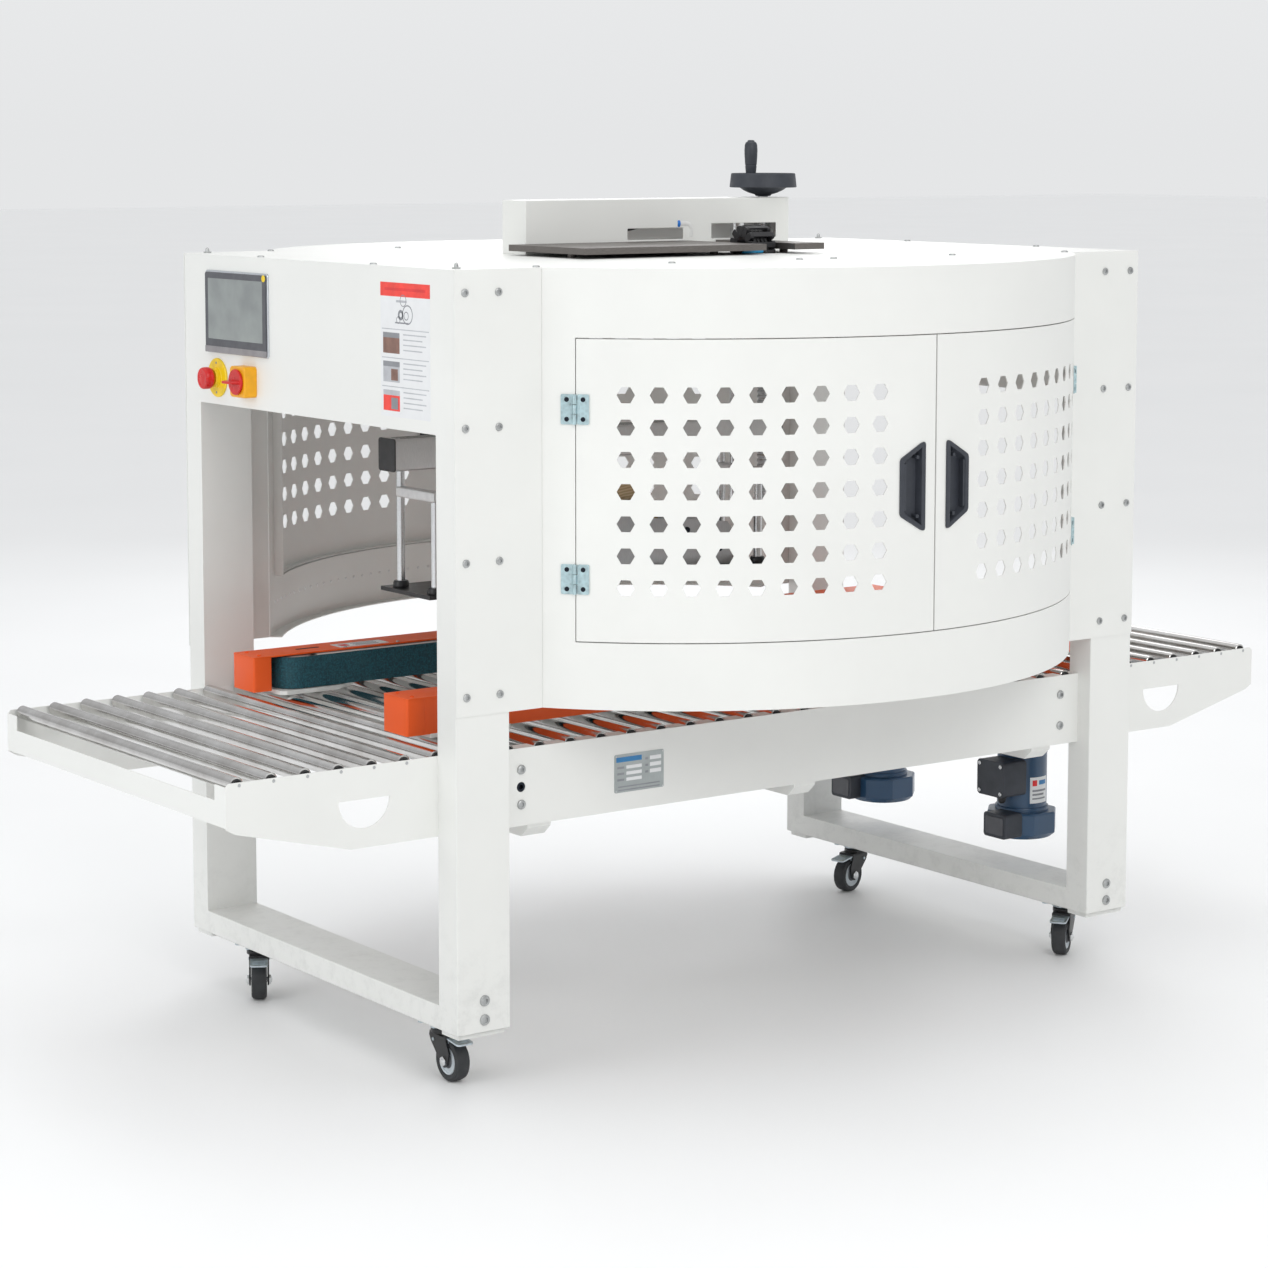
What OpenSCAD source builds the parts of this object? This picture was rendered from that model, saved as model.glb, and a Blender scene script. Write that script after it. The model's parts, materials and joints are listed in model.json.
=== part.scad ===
// Carton sealer: a roofed cabinet on two portals, a roller bed with side drive belts,
// a height-adjustable top tape head, a fixed bottom tape unit and four perforated doors.
// Millimetres. X runs along the conveyor (infeed at -X), Y across it (front at -Y),
// Z up from the floor. The origin is on the floor under the middle of the machine.

/* [Cabinet] */
// Half length of the cabinet along the conveyor
cab_x = 800; // [760:10:840]
// Half width over the legs
leg_out = 478; // [470:1:490]
// Size of a leg along the conveyor
leg_x = 109; // [100:1:120]
// Size of a leg across the conveyor
leg_y = 59; // [54:1:64]
// Height of the underside of the portals
leg_z0 = 108; // [106:1:112]
// Height of the bottom crossbar
bar_h = 43; // [38:1:50]
// Height of the top of the portal opening
open_z1 = 1146; // [1100:1:1180]
// Height of the roof
roof_z = 1429; // [1400:1:1460]
// Thickness of the sheet metal
sheet = 2; // [1.5:0.5:3]

/* [Curved guards and doors] */
// Outer radius of the curved guards
arc_r = 772; // [765:1:780]
// Half length of the curved part of a guard
arc_half_x = 623; // [615:1:630]
// Height of the guards' lower edge
guard_z0 = 666; // [650:1:680]
// Height of the doors' lower edge
door_z0 = 783; // [770:1:800]
// Height of the doors' upper edge
door_z1 = 1310; // [1290:1:1330]
// Distance from the middle of the machine to a door's hinge edge
door_half_x = 585; // [570:1:595]
// Flat-to-flat size of the hexagonal holes
hex_af = 27.5; // [20:0.5:30]
// Vertical pitch of the holes
hex_pitch_z = 55.5; // [50:0.5:60]
// Angular pitch of the holes
hex_pitch_a = 4.22; // [4:0.01:4.4]

/* [Conveyor] */
// Height of the lower edge of the side rails
rail_z0 = 453; // [440:1:460]
// Height of the upper edge of the side rails
rail_z1 = 591; // [585:1:600]
// Outer face of the middle rails, from the centre line
rail_y = 443; // [435:1:450]
// Outer face of the wing plates, from the centre line
wing_y = 419; // [410:1:419]
// Half length of the machine over the wings
wing_x = 1213; // [1180:1:1240]
// Diameter of a roller
roller_d = 25; // [20:1:30]
// Height of the roller centres
roller_z = 586; // [580:1:590]
// Pitch of the wing rollers
roller_pitch = 65; // [60:1:70]

/* [Side belts] */
// Centre line of a drive belt from the middle of the machine
belt_y = 257; // [250:1:262]
// Lower edge of the belt covers
cover_z0 = 607; // [604:1:612]
// Upper edge of the belt covers
cover_z1 = 674; // [665:1:680]
// Half length of the belt covers
cover_x = 795; // [780:1:798]

/* [Casters] */
// Wheel diameter
wheel_d = 75; // [70:1:80]
// Distance of the swivel axis from the wheel axis
trail = 28; // [22:1:32]
// Swivel axis from the middle of the machine along the conveyor
caster_x = 749; // [735:1:755]
// Swivel axis of the front casters from the centre line
caster_y_front = 355; // [330:1:380]
// Swivel axis of the rear casters from the centre line
caster_y_rear = 309; // [290:1:380]

/* [Top head] */
// Handwheel diameter
handwheel_d = 135; // [120:1:150]
// Lift screw position along the conveyor
screw_x = 284; // [270:1:290]
// Lift screw and guide column position across the conveyor
screw_y = 60; // [55:1:65]
// Height of the top of the head's base plate
head_z = 812; // [780:1:840]

/* [Hidden] */
gap = 0.05;
arc_cy = leg_out - sqrt(arc_r * arc_r - arc_half_x * arc_half_x);
shoulder_a = asin(arc_half_x / arc_r);
hinge_a = asin(door_half_x / arc_r);
wall = 3;
inner_leg_x = cab_x - leg_x;
open_y = leg_out - leg_y;
roller_first = wing_x - 26;
wing_rollers = 6;
bed_span = roller_first - wing_rollers * roller_pitch;
bed_gaps = 24;
bed_pitch = 2 * bed_span / bed_gaps;
drum_x = bed_span - 1.5 * bed_pitch;
drum_r = 36;
belt_t = 6;
belt_z0 = cover_z0 + 2;
belt_z1 = cover_z1 - 5;
guide_x = 643;
guide_z = 522;
screw_r = 8;
bar_r = 10;
column_x = 220;
column_r = 15;
lift_r = 10;
spool_x = -120;
grip_r = 40;
mast_x = 318;
mast_y0 = 20;
mast_y1 = 100;
mast_z1 = 1531;
plate_z = 1437;
carrier_x = 70;
carrier_y = -144;
knuckle_r = 3.5;
pin_r = 1.75;
hinge_h = 52;
hinge_zs = [893, 1187];
hinge_r = arc_r + knuckle_r + 0.1;
handle_a = 3.86;
handle_half = 28;
handle_z = 1043;
white = "#eeeeea";
orange = "#eb4b14";

// ---------- shared shapes ----------

// A box given by its low and high corners
module block(lo, hi) {
    translate(lo) cube(hi - lo);
}

// A child shape and its mirror image across the machine
module both_y() {
    children();
    mirror([0, 1, 0]) children();
}

// A child shape and its mirror image along the machine
module both_x() {
    children();
    mirror([1, 0, 0]) children();
}

// A round bar along X, Y or Z
module bar_x(r, p, len) {
    translate(p) rotate([0, 90, 0]) cylinder(r = r, h = len, $fn = 48);
}

module bar_y(r, p, len) {
    translate(p) rotate([-90, 0, 0]) cylinder(r = r, h = len, $fn = 48);
}

module bar_z(r, p, len) {
    translate(p) cylinder(r = r, h = len, $fn = 48);
}

// A piece of a vertical ring in the front guard, between two angles from -Y
module arc_block(r0, r1, z0, z1, a0, a1) {
    translate([0, -arc_cy, z0])
        rotate([0, 0, a0 - 90])
            rotate_extrude(angle = a1 - a0, $fn = 180)
                translate([r0, 0]) square([r1 - r0, z1 - z0]);
}

// Carries a shape drawn at the front, radius along -Y, to an angle on the front guard
module on_arc(a) {
    translate([0, -arc_cy, 0]) rotate([0, 0, a]) children();
}

// A pan-head screw pointing out along -Y, standing on the plane y
module screw_head(x, y, z, r, h) {
    translate([x, y, z]) rotate([90, 0, 0]) difference() {
        cylinder(r = r, h = h, $fn = 32);
        translate([0, 0, h / 2]) cylinder(r = r * 0.5, h = h, $fn = 6);
    }
}

// ---------- cabinet ----------

// A welded portal: two box legs, a box header and a box crossbar
module portal() {
    color(white) difference() {
        block([inner_leg_x, -leg_out, leg_z0], [cab_x, leg_out, roof_z - sheet]);
        block([inner_leg_x - 1, -open_y, leg_z0 + bar_h], [cab_x + 1, open_y, open_z1]);
        both_y() block([inner_leg_x + wall, open_y + wall, leg_z0 - 1],
            [cab_x - wall, leg_out - wall, roof_z - sheet - wall]);
        block([inner_leg_x + wall, -open_y - wall - 1, leg_z0 + wall],
            [cab_x - wall, open_y + wall + 1, leg_z0 + bar_h - wall]);
        block([inner_leg_x + wall, -open_y - wall - 1, open_z1 + wall],
            [cab_x - wall, open_y + wall + 1, roof_z - sheet - wall]);
    }
}

module infeed_portal() {
    mirror([1, 0, 0]) portal();
}

module outfeed_portal() {
    portal();
}

// The roof sheet: the cabinet's rectangle with both curved bulges
module roof_panel() {
    color(white) translate([0, 0, roof_z - sheet]) difference() {
        union() {
            block([-cab_x, -leg_out - sheet, 0], [cab_x, leg_out + sheet, sheet]);
            both_y() intersection() {
                translate([0, -arc_cy, 0]) cylinder(r = arc_r, h = sheet, $fn = 180);
                block([-cab_x, -arc_r - arc_cy - 1, -1], [cab_x, -300, sheet + 1]);
            }
        }
        block([-300, mast_y0 + 6, -1], [300, mast_y1 - 6, sheet + 1]);
        block([carrier_x - 6, carrier_y - 46, -1], [carrier_x + 63, carrier_y + 46, sheet + 1]);
    }
}

// A curved guard with its folded edges and the frame around the doors,
// and the flat shoulder plates beside it
module guard() {
    flange = 25;
    lip = 20;
    top = roof_z - sheet;
    edge = 0.15;
    color(white) difference() {
        union() {
            arc_block(arc_r - sheet, arc_r, guard_z0, top, -shoulder_a, shoulder_a);
            arc_block(arc_r - flange, arc_r - sheet / 2, guard_z0, guard_z0 + sheet,
                -shoulder_a, shoulder_a);
            arc_block(arc_r - lip, arc_r - sheet / 2, door_z0 - sheet, door_z1 + sheet,
                -hinge_a - edge, hinge_a + edge);
        }
        arc_block(arc_r - flange, arc_r + 1, door_z0, door_z1, -hinge_a, hinge_a);
    }
    color(white) both_x()
        block([arc_half_x + 0.2, -leg_out - sheet, guard_z0], [cab_x, -leg_out, top]);
}

module front_guard() {
    guard();
}

module rear_guard() {
    mirror([0, 1, 0]) guard();
}

// ---------- doors ----------

// The trapezoid of a pull handle, grown by g, its long side towards the other door
module handle_outline(g) {
    polygon([
        [-handle_half - g, handle_z - 78 - g], [8 - handle_half, handle_z - 78 - g],
        [handle_half + g, handle_z - 50 - g / 2], [handle_half + g, handle_z + 50 + g / 2],
        [8 - handle_half, handle_z + 78 + g], [-handle_half - g, handle_z + 78 + g]
    ]);
}

// Extrudes an outline on the door's tangent plane at the handle, from depth y0 to y1
module from_face(y0, y1) {
    on_arc(handle_a) translate([0, y1 - arc_r, 0]) rotate([90, 0, 0])
        linear_extrude(y1 - y0) children();
}

// A perforated, folded door leaf, drawn at the front on the outfeed side
module door() {
    a0 = 0.11;
    a1 = hinge_a - 0.13;
    edge = 0.15;
    fold = 18;
    low = door_z0 + 2;
    high = door_z1 - 2;
    mid_z = 1046;
    color(white) difference() {
        arc_block(arc_r - fold, arc_r, low, high, a0, a1);
        arc_block(arc_r - fold - 1, arc_r - sheet, low + sheet, high - sheet, a0 + edge, a1 - edge);
        for (k = [0 : 8], row = [-3 : 3])
            on_arc(8.95 + k * hex_pitch_a)
                translate([0, -arc_r + 8, mid_z + row * hex_pitch_z])
                    rotate([90, 0, 0]) cylinder(d = hex_af / cos(30), h = 16, $fn = 6);
        from_face(-5, 8) handle_outline(-5);
    }
}

// The pull handle, the moving hinge leaves and their screws
module door_hardware() {
    color("#373a44") difference() {
        union() {
            from_face(-3, 14) handle_outline(-5.3);
            from_face(-3, -0.1) handle_outline(0);
        }
        from_face(-4, 11) polygon([
            [14 - handle_half, handle_z - 60], [handle_half - 9, handle_z - 42],
            [handle_half - 9, handle_z + 42], [14 - handle_half, handle_z + 60]
        ]);
    }
    for (z = hinge_zs) on_arc(hinge_a) color("#9aa5b0") {
        translate([0, -hinge_r, z]) difference() {
            union() {
                cylinder(r = knuckle_r, h = hinge_h / 3 - 1, center = true, $fn = 32);
                block([-25, 1.4, -hinge_h / 2], [-4.2, 3.5, hinge_h / 2]);
                block([-5, 1.4, -hinge_h / 6 + 0.6], [0, 3.5, hinge_h / 6 - 0.6]);
            }
            cylinder(r = pin_r + gap, h = hinge_h, center = true, $fn = 32);
        }
        for (dz = [-17, 17]) screw_head(-14.5, -hinge_r + 1.4, z + dz, 4.2, 1.4);
    }
}

// The four doors and their hardware, placed by mirroring
module door_front_outfeed() {
    door();
}

module door_front_infeed() {
    mirror([1, 0, 0]) door();
}

module door_rear_outfeed() {
    mirror([0, 1, 0]) door();
}

module door_rear_infeed() {
    mirror([1, 0, 0]) mirror([0, 1, 0]) door();
}

module door_hardware_front_outfeed() {
    door_hardware();
}

module door_hardware_front_infeed() {
    mirror([1, 0, 0]) door_hardware();
}

module door_hardware_rear_outfeed() {
    mirror([0, 1, 0]) door_hardware();
}

module door_hardware_rear_infeed() {
    mirror([1, 0, 0]) mirror([0, 1, 0]) door_hardware();
}

// The hinge leaves on the guards, with their pins and screws
module hinge_fixed_leaves() {
    color("#9aa5b0") both_x() both_y() for (z = hinge_zs) on_arc(hinge_a) {
        translate([0, -hinge_r, z]) {
            difference() {
                union() {
                    for (s = [-1, 1]) translate([0, 0, s * hinge_h / 3])
                        cylinder(r = knuckle_r, h = hinge_h / 3 - 1, center = true, $fn = 32);
                    block([4.2, 1.4, -hinge_h / 2], [25, 3.5, hinge_h / 2]);
                    for (s = [-1, 1]) translate([0, 0, s * hinge_h / 3])
                        block([0, 1.4, -hinge_h / 6 + 0.6], [5, 3.5, hinge_h / 6 - 0.6]);
                }
                cylinder(r = pin_r, h = hinge_h + 10, center = true, $fn = 32);
            }
            cylinder(r = pin_r, h = hinge_h, center = true, $fn = 32);
        }
        for (dz = [-17, 17]) screw_head(14.5, -hinge_r + 1.4, z + dz, 4.2, 1.4);
    }
}

// ---------- conveyor bed ----------

// Two folded side rails, three cross members and the guide bar of the side belts
module bed_frame() {
    fold = 30;
    slot = roller_d / 2 + 1;
    color(white) both_y() difference() {
        union() {
            block([-inner_leg_x, -rail_y, rail_z0], [inner_leg_x, -rail_y + sheet, rail_z1]);
            block([-inner_leg_x, -rail_y, rail_z0], [inner_leg_x, -rail_y + fold, rail_z0 + sheet]);
            block([-inner_leg_x, -rail_y, rail_z1 - sheet],
                [inner_leg_x, -rail_y + fold, rail_z1]);
        }
        bar_y(screw_r + 1 + gap, [-guide_x, -rail_y - 1, guide_z], 5);
        for (k = [0 : bed_gaps])
            block([-bed_span + k * bed_pitch - slot, -rail_y + sheet, rail_z1 - sheet - 1],
                [-bed_span + k * bed_pitch + slot, -rail_y + fold + 1, rail_z1 + 1]);
    }
    color(white) for (x = [-600, 0, 600]) translate([x, 0, 0])
        rotate([90, 0, 90]) translate([0, 0, -25]) linear_extrude(50) polygon([
            [-rail_y + 8, rail_z0], [-rail_y + 8, rail_z0 - 8], [-rail_y + 28, rail_z0 - 26],
            [rail_y - 28, rail_z0 - 26], [rail_y - 8, rail_z0 - 8], [rail_y - 8, rail_z0]
        ]);
    color("#c8ccd0") bar_y(bar_r, [guide_x, -rail_y + sheet, guide_z], 2 * (rail_y - sheet));
}

// The outline of a wing's side plate, at +X
module wing_outline() {
    difference() {
        polygon([
            [inner_leg_x + 1, rail_z0 - 3], [975, rail_z0 - 3], [1196, 504], [wing_x, 514],
            [wing_x, rail_z1 - 6], [wing_x - 6, rail_z1], [inner_leg_x + 1, rail_z1]
        ]);
        translate([897, 0]) intersection() {
            translate([0, 484]) square([101, 50]);
            translate([50.5, 534]) scale([1.01, 1]) circle(r = 50, $fn = 96);
        }
        for (k = [0 : wing_rollers - 1])
            translate([roller_first - k * roller_pitch, roller_z]) circle(r = 3 + gap, $fn = 32);
    }
}

// A wing: two side plates with folded ends, an end plate and a tray under the outer rollers
module wing() {
    fold = 38;
    color(white) difference() {
        union() {
            both_y() translate([0, -wing_y + sheet, 0]) rotate([90, 0, 0])
                linear_extrude(sheet) wing_outline();
            both_y() block([wing_x - sheet, -wing_y, 516], [wing_x, -wing_y + fold, rail_z1 - 6]);
            block([wing_x - sheet, -wing_y, 516], [wing_x, wing_y, 558]);
            block([wing_x - 62, -wing_y + sheet, 520], [wing_x, wing_y - sheet, 522]);
        }
        block([wing_x - 40, -170, 519], [wing_x - 26, 20, 523]);
    }
}

module infeed_wing() {
    mirror([1, 0, 0]) wing();
}

module outfeed_wing() {
    wing();
}

// One free roller: tube, end caps and stub shaft
module roller(x, y0, y1, stub) {
    color("#c8ccd0") union() {
        bar_y(roller_d / 2, [x, y0, roller_z], y1 - y0);
        bar_y(3, [x, y0 - stub, roller_z], y1 - y0 + 2 * stub);
    }
}

module wing_roller(side, number) {
    face = wing_y - sheet - 6;
    roller(side * (roller_first - (number - 1) * roller_pitch), -face, face, 8);
}

// The rollers inside the cabinet, split around the bottom tape unit
module bed_rollers() {
    for (k = [0 : bed_gaps]) {
        x = -bed_span + k * bed_pitch;
        if (x > -370 && x < 170)
            both_y() roller(x, -rail_y + 8, -56, 4);
        else if (abs(x) > inner_leg_x)
            roller(x, -wing_y + sheet + 6, wing_y - sheet - 6, 4);
        else
            roller(x, -rail_y + 8, rail_y - 8, 4);
    }
}

// ---------- bottom and top tape units ----------

// A tape unit drawn with its product face down at z = 0 and its body above
module tape_unit() {
    color("#b9bcc0") union() {
        both_y() block([-340, -40, 6], [140, -37, roller_z + 6 - rail_z0]);
        for (x = [-330, 10]) both_y() block([x, -50, 8], [x + 80, -37, 11]);
        bar_y(6, [-300, -37, 40], 74);
        bar_y(6, [100, -37, 40], 74);
        bar_y(8, [spool_x, -37, 100], 74);
    }
    color("#303236") for (x = [-300, 100]) {
        bar_y(17, [x < 0 ? x - 24 : x + 24, -30, -12], 60);
        both_y() hull() {
            bar_y(9, [x, -34, 40], 3);
            bar_y(9, [x < 0 ? x - 24 : x + 24, -34, -12], 3);
        }
        bar_y(5, [x < 0 ? x - 24 : x + 24, -34, -12], 68);
    }
    color("#cbb58a") translate([spool_x, 0, 100]) rotate([90, 0, 0]) difference() {
        cylinder(r = 82, h = 48, center = true, $fn = 96);
        cylinder(r = 8.4, h = 60, center = true, $fn = 48);
    }
}

module bottom_tape_unit() {
    translate([0, 0, roller_z + 6]) mirror([0, 0, 1]) tape_unit();
}

module top_tape_unit() {
    translate([0, 0, head_z - 8]) tape_unit();
}

// The lifting head: beam, hanger rods and slotted base plate
module top_head() {
    beam_z0 = 1032;
    beam_z1 = 1092;
    color("#2b2d30") difference() {
        block([-600, -80, head_z - 8], [200, 92, head_z]);
        block([-352, -42, head_z - 9], [152, 42, head_z + 1]);
        bar_z(column_r + 1, [-column_x, screw_y, head_z - 9], 12);
    }
    color("#d9dadb") difference() {
        block([-605, screw_y - 28, beam_z0], [315, screw_y + 28, beam_z1]);
        for (x = [-column_x, column_x])
            bar_z(column_r + gap, [x, screw_y, beam_z0 - 1], 70);
        bar_z(lift_r + gap, [screw_x, screw_y, beam_z0 - 1], 70);
    }
    color("#c8ccd0") for (x = [-575, 180]) {
        bar_z(8, [x, screw_y, head_z], beam_z0 - head_z);
        bar_z(8, [x, -60, head_z], 170);
    }
    color("#d9dadb") for (x = [-575, 180])
        block([x - 10, -72, head_z + 170], [x + 10, screw_y, head_z + 190]);
}

// ---------- mast on the roof ----------

// The folded mast cover with its two front windows
module mast_cover() {
    color(white) difference() {
        block([-mast_x, mast_y0, roof_z], [mast_x, mast_y1, mast_z1]);
        block([-mast_x + sheet, mast_y0 + sheet, roof_z - 1],
            [mast_x - sheet, mast_y1 - sheet, mast_z1 - sheet]);
        bar_z(lift_r + 3, [screw_x, screw_y, mast_z1 - 5], 10);
        block([-80, mast_y0 - 1, 1452], [54, mast_y0 + 5, 1474]);
        block([124, mast_y0 - 1, 1452], [286, mast_y0 + 5, 1481]);
    }
}

// The dark machined plate in front of the mast
module bridge_plate() {
    color("#6b6865") union() {
        difference() {
            block([-358, -231, plate_z], [205, 18, plate_z + 12]);
            block([carrier_x - 6, -232, plate_z - 1], [carrier_x + 63, 19, plate_z + 13]);
        }
        for (x = [-330, 0, 170]) bar_z(8, [x, -150, roof_z], plate_z - roof_z);
    }
}

// The two fixed guide columns and the plate that holds their tops
module guide_columns() {
    top = 1500;
    color("#c8ccd0") for (x = [-column_x, column_x])
        bar_z(column_r, [x, screw_y, 900], top - 900);
    color("#d9dadb") difference() {
        block([-310, mast_y0 + 4, top], [310, mast_y1 - 4, top + 12]);
        bar_z(lift_r + gap, [screw_x, screw_y, top - 1], 20);
    }
    color("#d9dadb") both_x() block([290, mast_y1 - 20, roof_z], [310, mast_y1 - 4, top]);
}

// The cable carrier's bend over the bridge plate
module energy_chain() {
    color("#26272a") translate([carrier_x, carrier_y, 1446]) rotate([90, 0, 90])
        linear_extrude(57) difference() {
            union() {
                circle(r = 36, $fn = 96);
                translate([-36, -83]) square([72, 83]);
            }
            circle(r = 14, $fn = 96);
            translate([-14, -84]) square([28, 84]);
        }
}

// The threaded spindle under the handwheel
module lift_screw() {
    color("#b9bcc0") bar_z(lift_r, [screw_x, screw_y, 900], mast_z1 + 2 - 900);
}

// The dished handwheel with the grip's spindle
module handwheel() {
    color("#33353c") translate([screw_x, screw_y, mast_z1 + 2]) {
        rotate_extrude($fn = 96) polygon([
            [0, 0], [15, 0], [17, 8], [28, 14], [44, 26], [handwheel_d / 2 - 3, 28],
            [handwheel_d / 2, 29], [handwheel_d / 2 - 3, 54], [handwheel_d / 2 - 8, 54],
            [handwheel_d / 2 - 11, 36], [24, 34], [18, 44], [0, 44]
        ]);
        translate([0, grip_r, 30]) cylinder(r = 4, h = 80, $fn = 32);
    }
}

// The revolving grip on the handwheel
module handwheel_grip() {
    color("#33353c") translate([screw_x, screw_y + grip_r, mast_z1 + 2]) rotate_extrude($fn = 64)
        polygon([
            [4 + gap, 38], [9, 38], [12, 46], [13.5, 92], [12, 104], [8, 110.5], [4 + gap, 111.5]
        ]);
}

// ---------- side belt drives, drawn at the front ----------

// The stadium of the belt loop, in plan
module belt_plan(r) {
    hull() for (x = [-drum_x, drum_x]) translate([x, -belt_y]) circle(r = r, $fn = 64);
}

// The orange cover, its drums, slider bed and the slides under the rollers
module belt_carrier() {
    y_out = -belt_y - 56;
    y_in = -belt_y + 24;
    color(orange) union() {
        block([-cover_x, y_out, cover_z1 - 3], [cover_x, y_in, cover_z1]);
        block([-cover_x, y_out, cover_z0], [cover_x, y_out + 3, cover_z1]);
        both_x() block([drum_x + 58, y_out, cover_z0], [cover_x, y_in, cover_z1]);
    }
    color("#c8ccd0") both_x() {
        bar_z(drum_r - 0.3, [drum_x, -belt_y, belt_z0], belt_z1 - belt_z0);
        bar_z(8, [drum_x, -belt_y - 47, 562], cover_z0 - 562);
    }
    color(white) block([-drum_x + 40, -belt_y - 20, belt_z0], [drum_x - 40, -belt_y + 35, belt_z1]);
    color(white) both_x() difference() {
        block([drum_x - 46, y_out, cover_z0 - 4], [drum_x + 50, -belt_y + 44, cover_z0]);
        bar_z(9 + gap, [drum_x, -belt_y, cover_z0 - 5], 6);
    }
    color("#8a8f94") both_x() block([620, -belt_y - 60, 550], [drum_x + 8, -belt_y - 34, 562]);
    color("#8a8f94") difference() {
        block([-guide_x - 20, -belt_y - 60, 502], [-guide_x + 20, -belt_y - 24, 550]);
        bar_y(screw_r + gap, [-guide_x, -belt_y - 61, guide_z], 40);
    }
    color("#8a8f94") difference() {
        block([guide_x - 22, -belt_y - 60, 502], [guide_x + 20, -belt_y - 24, 550]);
        bar_y(bar_r + gap, [guide_x, -belt_y - 61, guide_z], 40);
    }
}

// The toothed, rough-topped drive belt
module drive_belt() {
    color("#0e3c4a") translate([0, 0, belt_z0]) linear_extrude(belt_z1 - belt_z0) difference() {
        belt_plan(drum_r + belt_t);
        belt_plan(drum_r);
    }
}

// The upright gear motor under the outfeed end of the belt
module drive_motor() {
    mx = 750;
    my = -222;
    color("#1f3d6b") union() {
        bar_z(52, [mx, my, 268], 190);
        translate([mx, my, 216]) rotate([0, 0, 22.5]) cylinder(d = 138, h = 56, $fn = 8);
        block([mx - 60, my - 60, 458], [mx + 52, my + 52, 500]);
    }
    color("#4a4d52") union() {
        block([mx - 104, my - 66, 400], [mx - 40, my + 4, 448]);
        block([mx - 96, my - 52, 226], [mx - 56, my - 4, 262]);
    }
    color("#8a8f94") union() {
        block([drum_x - 26, -belt_y - 26, 500], [mx + 52, my + 52, 546]);
        bar_z(9, [drum_x, -belt_y, 546], belt_z0 - 546);
    }
}

module belt_carrier_front() {
    belt_carrier();
}

module belt_carrier_rear() {
    mirror([0, 1, 0]) belt_carrier();
}

module drive_belt_front() {
    drive_belt();
}

module drive_belt_rear() {
    mirror([0, 1, 0]) drive_belt();
}

module drive_motor_front() {
    drive_motor();
}

module drive_motor_rear() {
    mirror([0, 1, 0]) drive_motor();
}

// The left and right handed spindle that sets the belt spacing
module width_screw() {
    color("#b9bcc0") difference() {
        union() {
            bar_y(screw_r, [-guide_x, -rail_y + 4, guide_z], 2 * rail_y - 8);
            both_y() bar_y(screw_r + 1, [-guide_x, -rail_y + 0.5, guide_z], 12);
        }
        bar_y(5, [-guide_x, -rail_y - 1, guide_z], 9);
    }
}

// ---------- casters ----------

// Rest heading of each caster: front infeed, front outfeed, rear infeed, rear outfeed
headings = [-90, -145, -120, -165];

// Carries a caster drawn at the origin to its place
module at_caster(sx, sy, heading) {
    translate([sx * caster_x, sy < 0 ? -caster_y_front : caster_y_rear, 0])
        rotate([0, 0, heading]) children();
}

// Mounting plate with its swivel race and a bore for the king pin
module caster_plate() {
    color("#9aa5b0") difference() {
        union() {
            block([-42, -30, leg_z0 - 4], [42, 30, leg_z0]);
            bar_z(26, [0, 0, 92], leg_z0 - 4 - 92);
        }
        bar_z(6 + gap, [0, 0, 90], 11);
    }
}

module caster_plates() {
    for (sx = [-1, 1], sy = [-1, 1]) at_caster(sx, sy, 0) caster_plate();
    color(white) both_x() both_y() block([inner_leg_x + 6, open_y - 2, leg_z0 - 9],
        [cab_x - 6, leg_out - 7, leg_z0]);
}

// Swivelling fork with king pin, axle and brake pedal; it trails along +X
module caster_fork() {
    wheel_r = wheel_d / 2;
    side = 19;
    color("#1c1d20") union() {
        bar_z(24, [0, 0, 82], 9.6);
        bar_z(6, [0, 0, 84], 15);
        both_y() translate([0, -side + 3, 0]) rotate([90, 0, 0]) linear_extrude(3) hull() {
            translate([trail, wheel_r]) circle(r = 11, $fn = 32);
            translate([-16, 78]) square([48, 8]);
        }
        block([-16, -side, 80], [32, side, 86]);
    }
    color("#c8ccd0") union() {
        bar_y(5, [trail, -side - 4, wheel_r], 2 * side + 8);
        both_y() bar_y(8, [trail, -side - 5, wheel_r], 5);
    }
    color("#9aa5b0") translate([0, 0, 86]) rotate([0, 8, 0])
        block([28, -17, -4], [72, 17, 0]);
}

// Tyre and hub of a caster
module caster_wheel() {
    color("#26282b") translate([trail, 0, wheel_d / 2]) rotate([90, 0, 0]) difference() {
        rotate_extrude($fn = 96) polygon([
            [0, -14.5], [16, -14.5], [17, -11], [25, -11], [27, -14.5], [wheel_d / 2 - 3, -14.5],
            [wheel_d / 2, -10], [wheel_d / 2, 10], [wheel_d / 2 - 3, 14.5], [27, 14.5],
            [25, 11], [17, 11], [16, 14.5], [0, 14.5]
        ]);
        cylinder(r = 5 + gap, h = 60, center = true, $fn = 48);
    }
}

module caster_fork_front_infeed() {
    at_caster(-1, -1, headings[0]) caster_fork();
}

module caster_fork_front_outfeed() {
    at_caster(1, -1, headings[1]) caster_fork();
}

module caster_fork_rear_infeed() {
    at_caster(-1, 1, headings[2]) caster_fork();
}

module caster_fork_rear_outfeed() {
    at_caster(1, 1, headings[3]) caster_fork();
}

module caster_wheel_front_infeed() {
    at_caster(-1, -1, headings[0]) caster_wheel();
}

module caster_wheel_front_outfeed() {
    at_caster(1, -1, headings[1]) caster_wheel();
}

module caster_wheel_rear_infeed() {
    at_caster(-1, 1, headings[2]) caster_wheel();
}

module caster_wheel_rear_outfeed() {
    at_caster(1, 1, headings[3]) caster_wheel();
}

// ---------- controls on the infeed end ----------

estop_at = [348, 1197];
switch_at = [228, 1197];
switch_base = 26;

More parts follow.
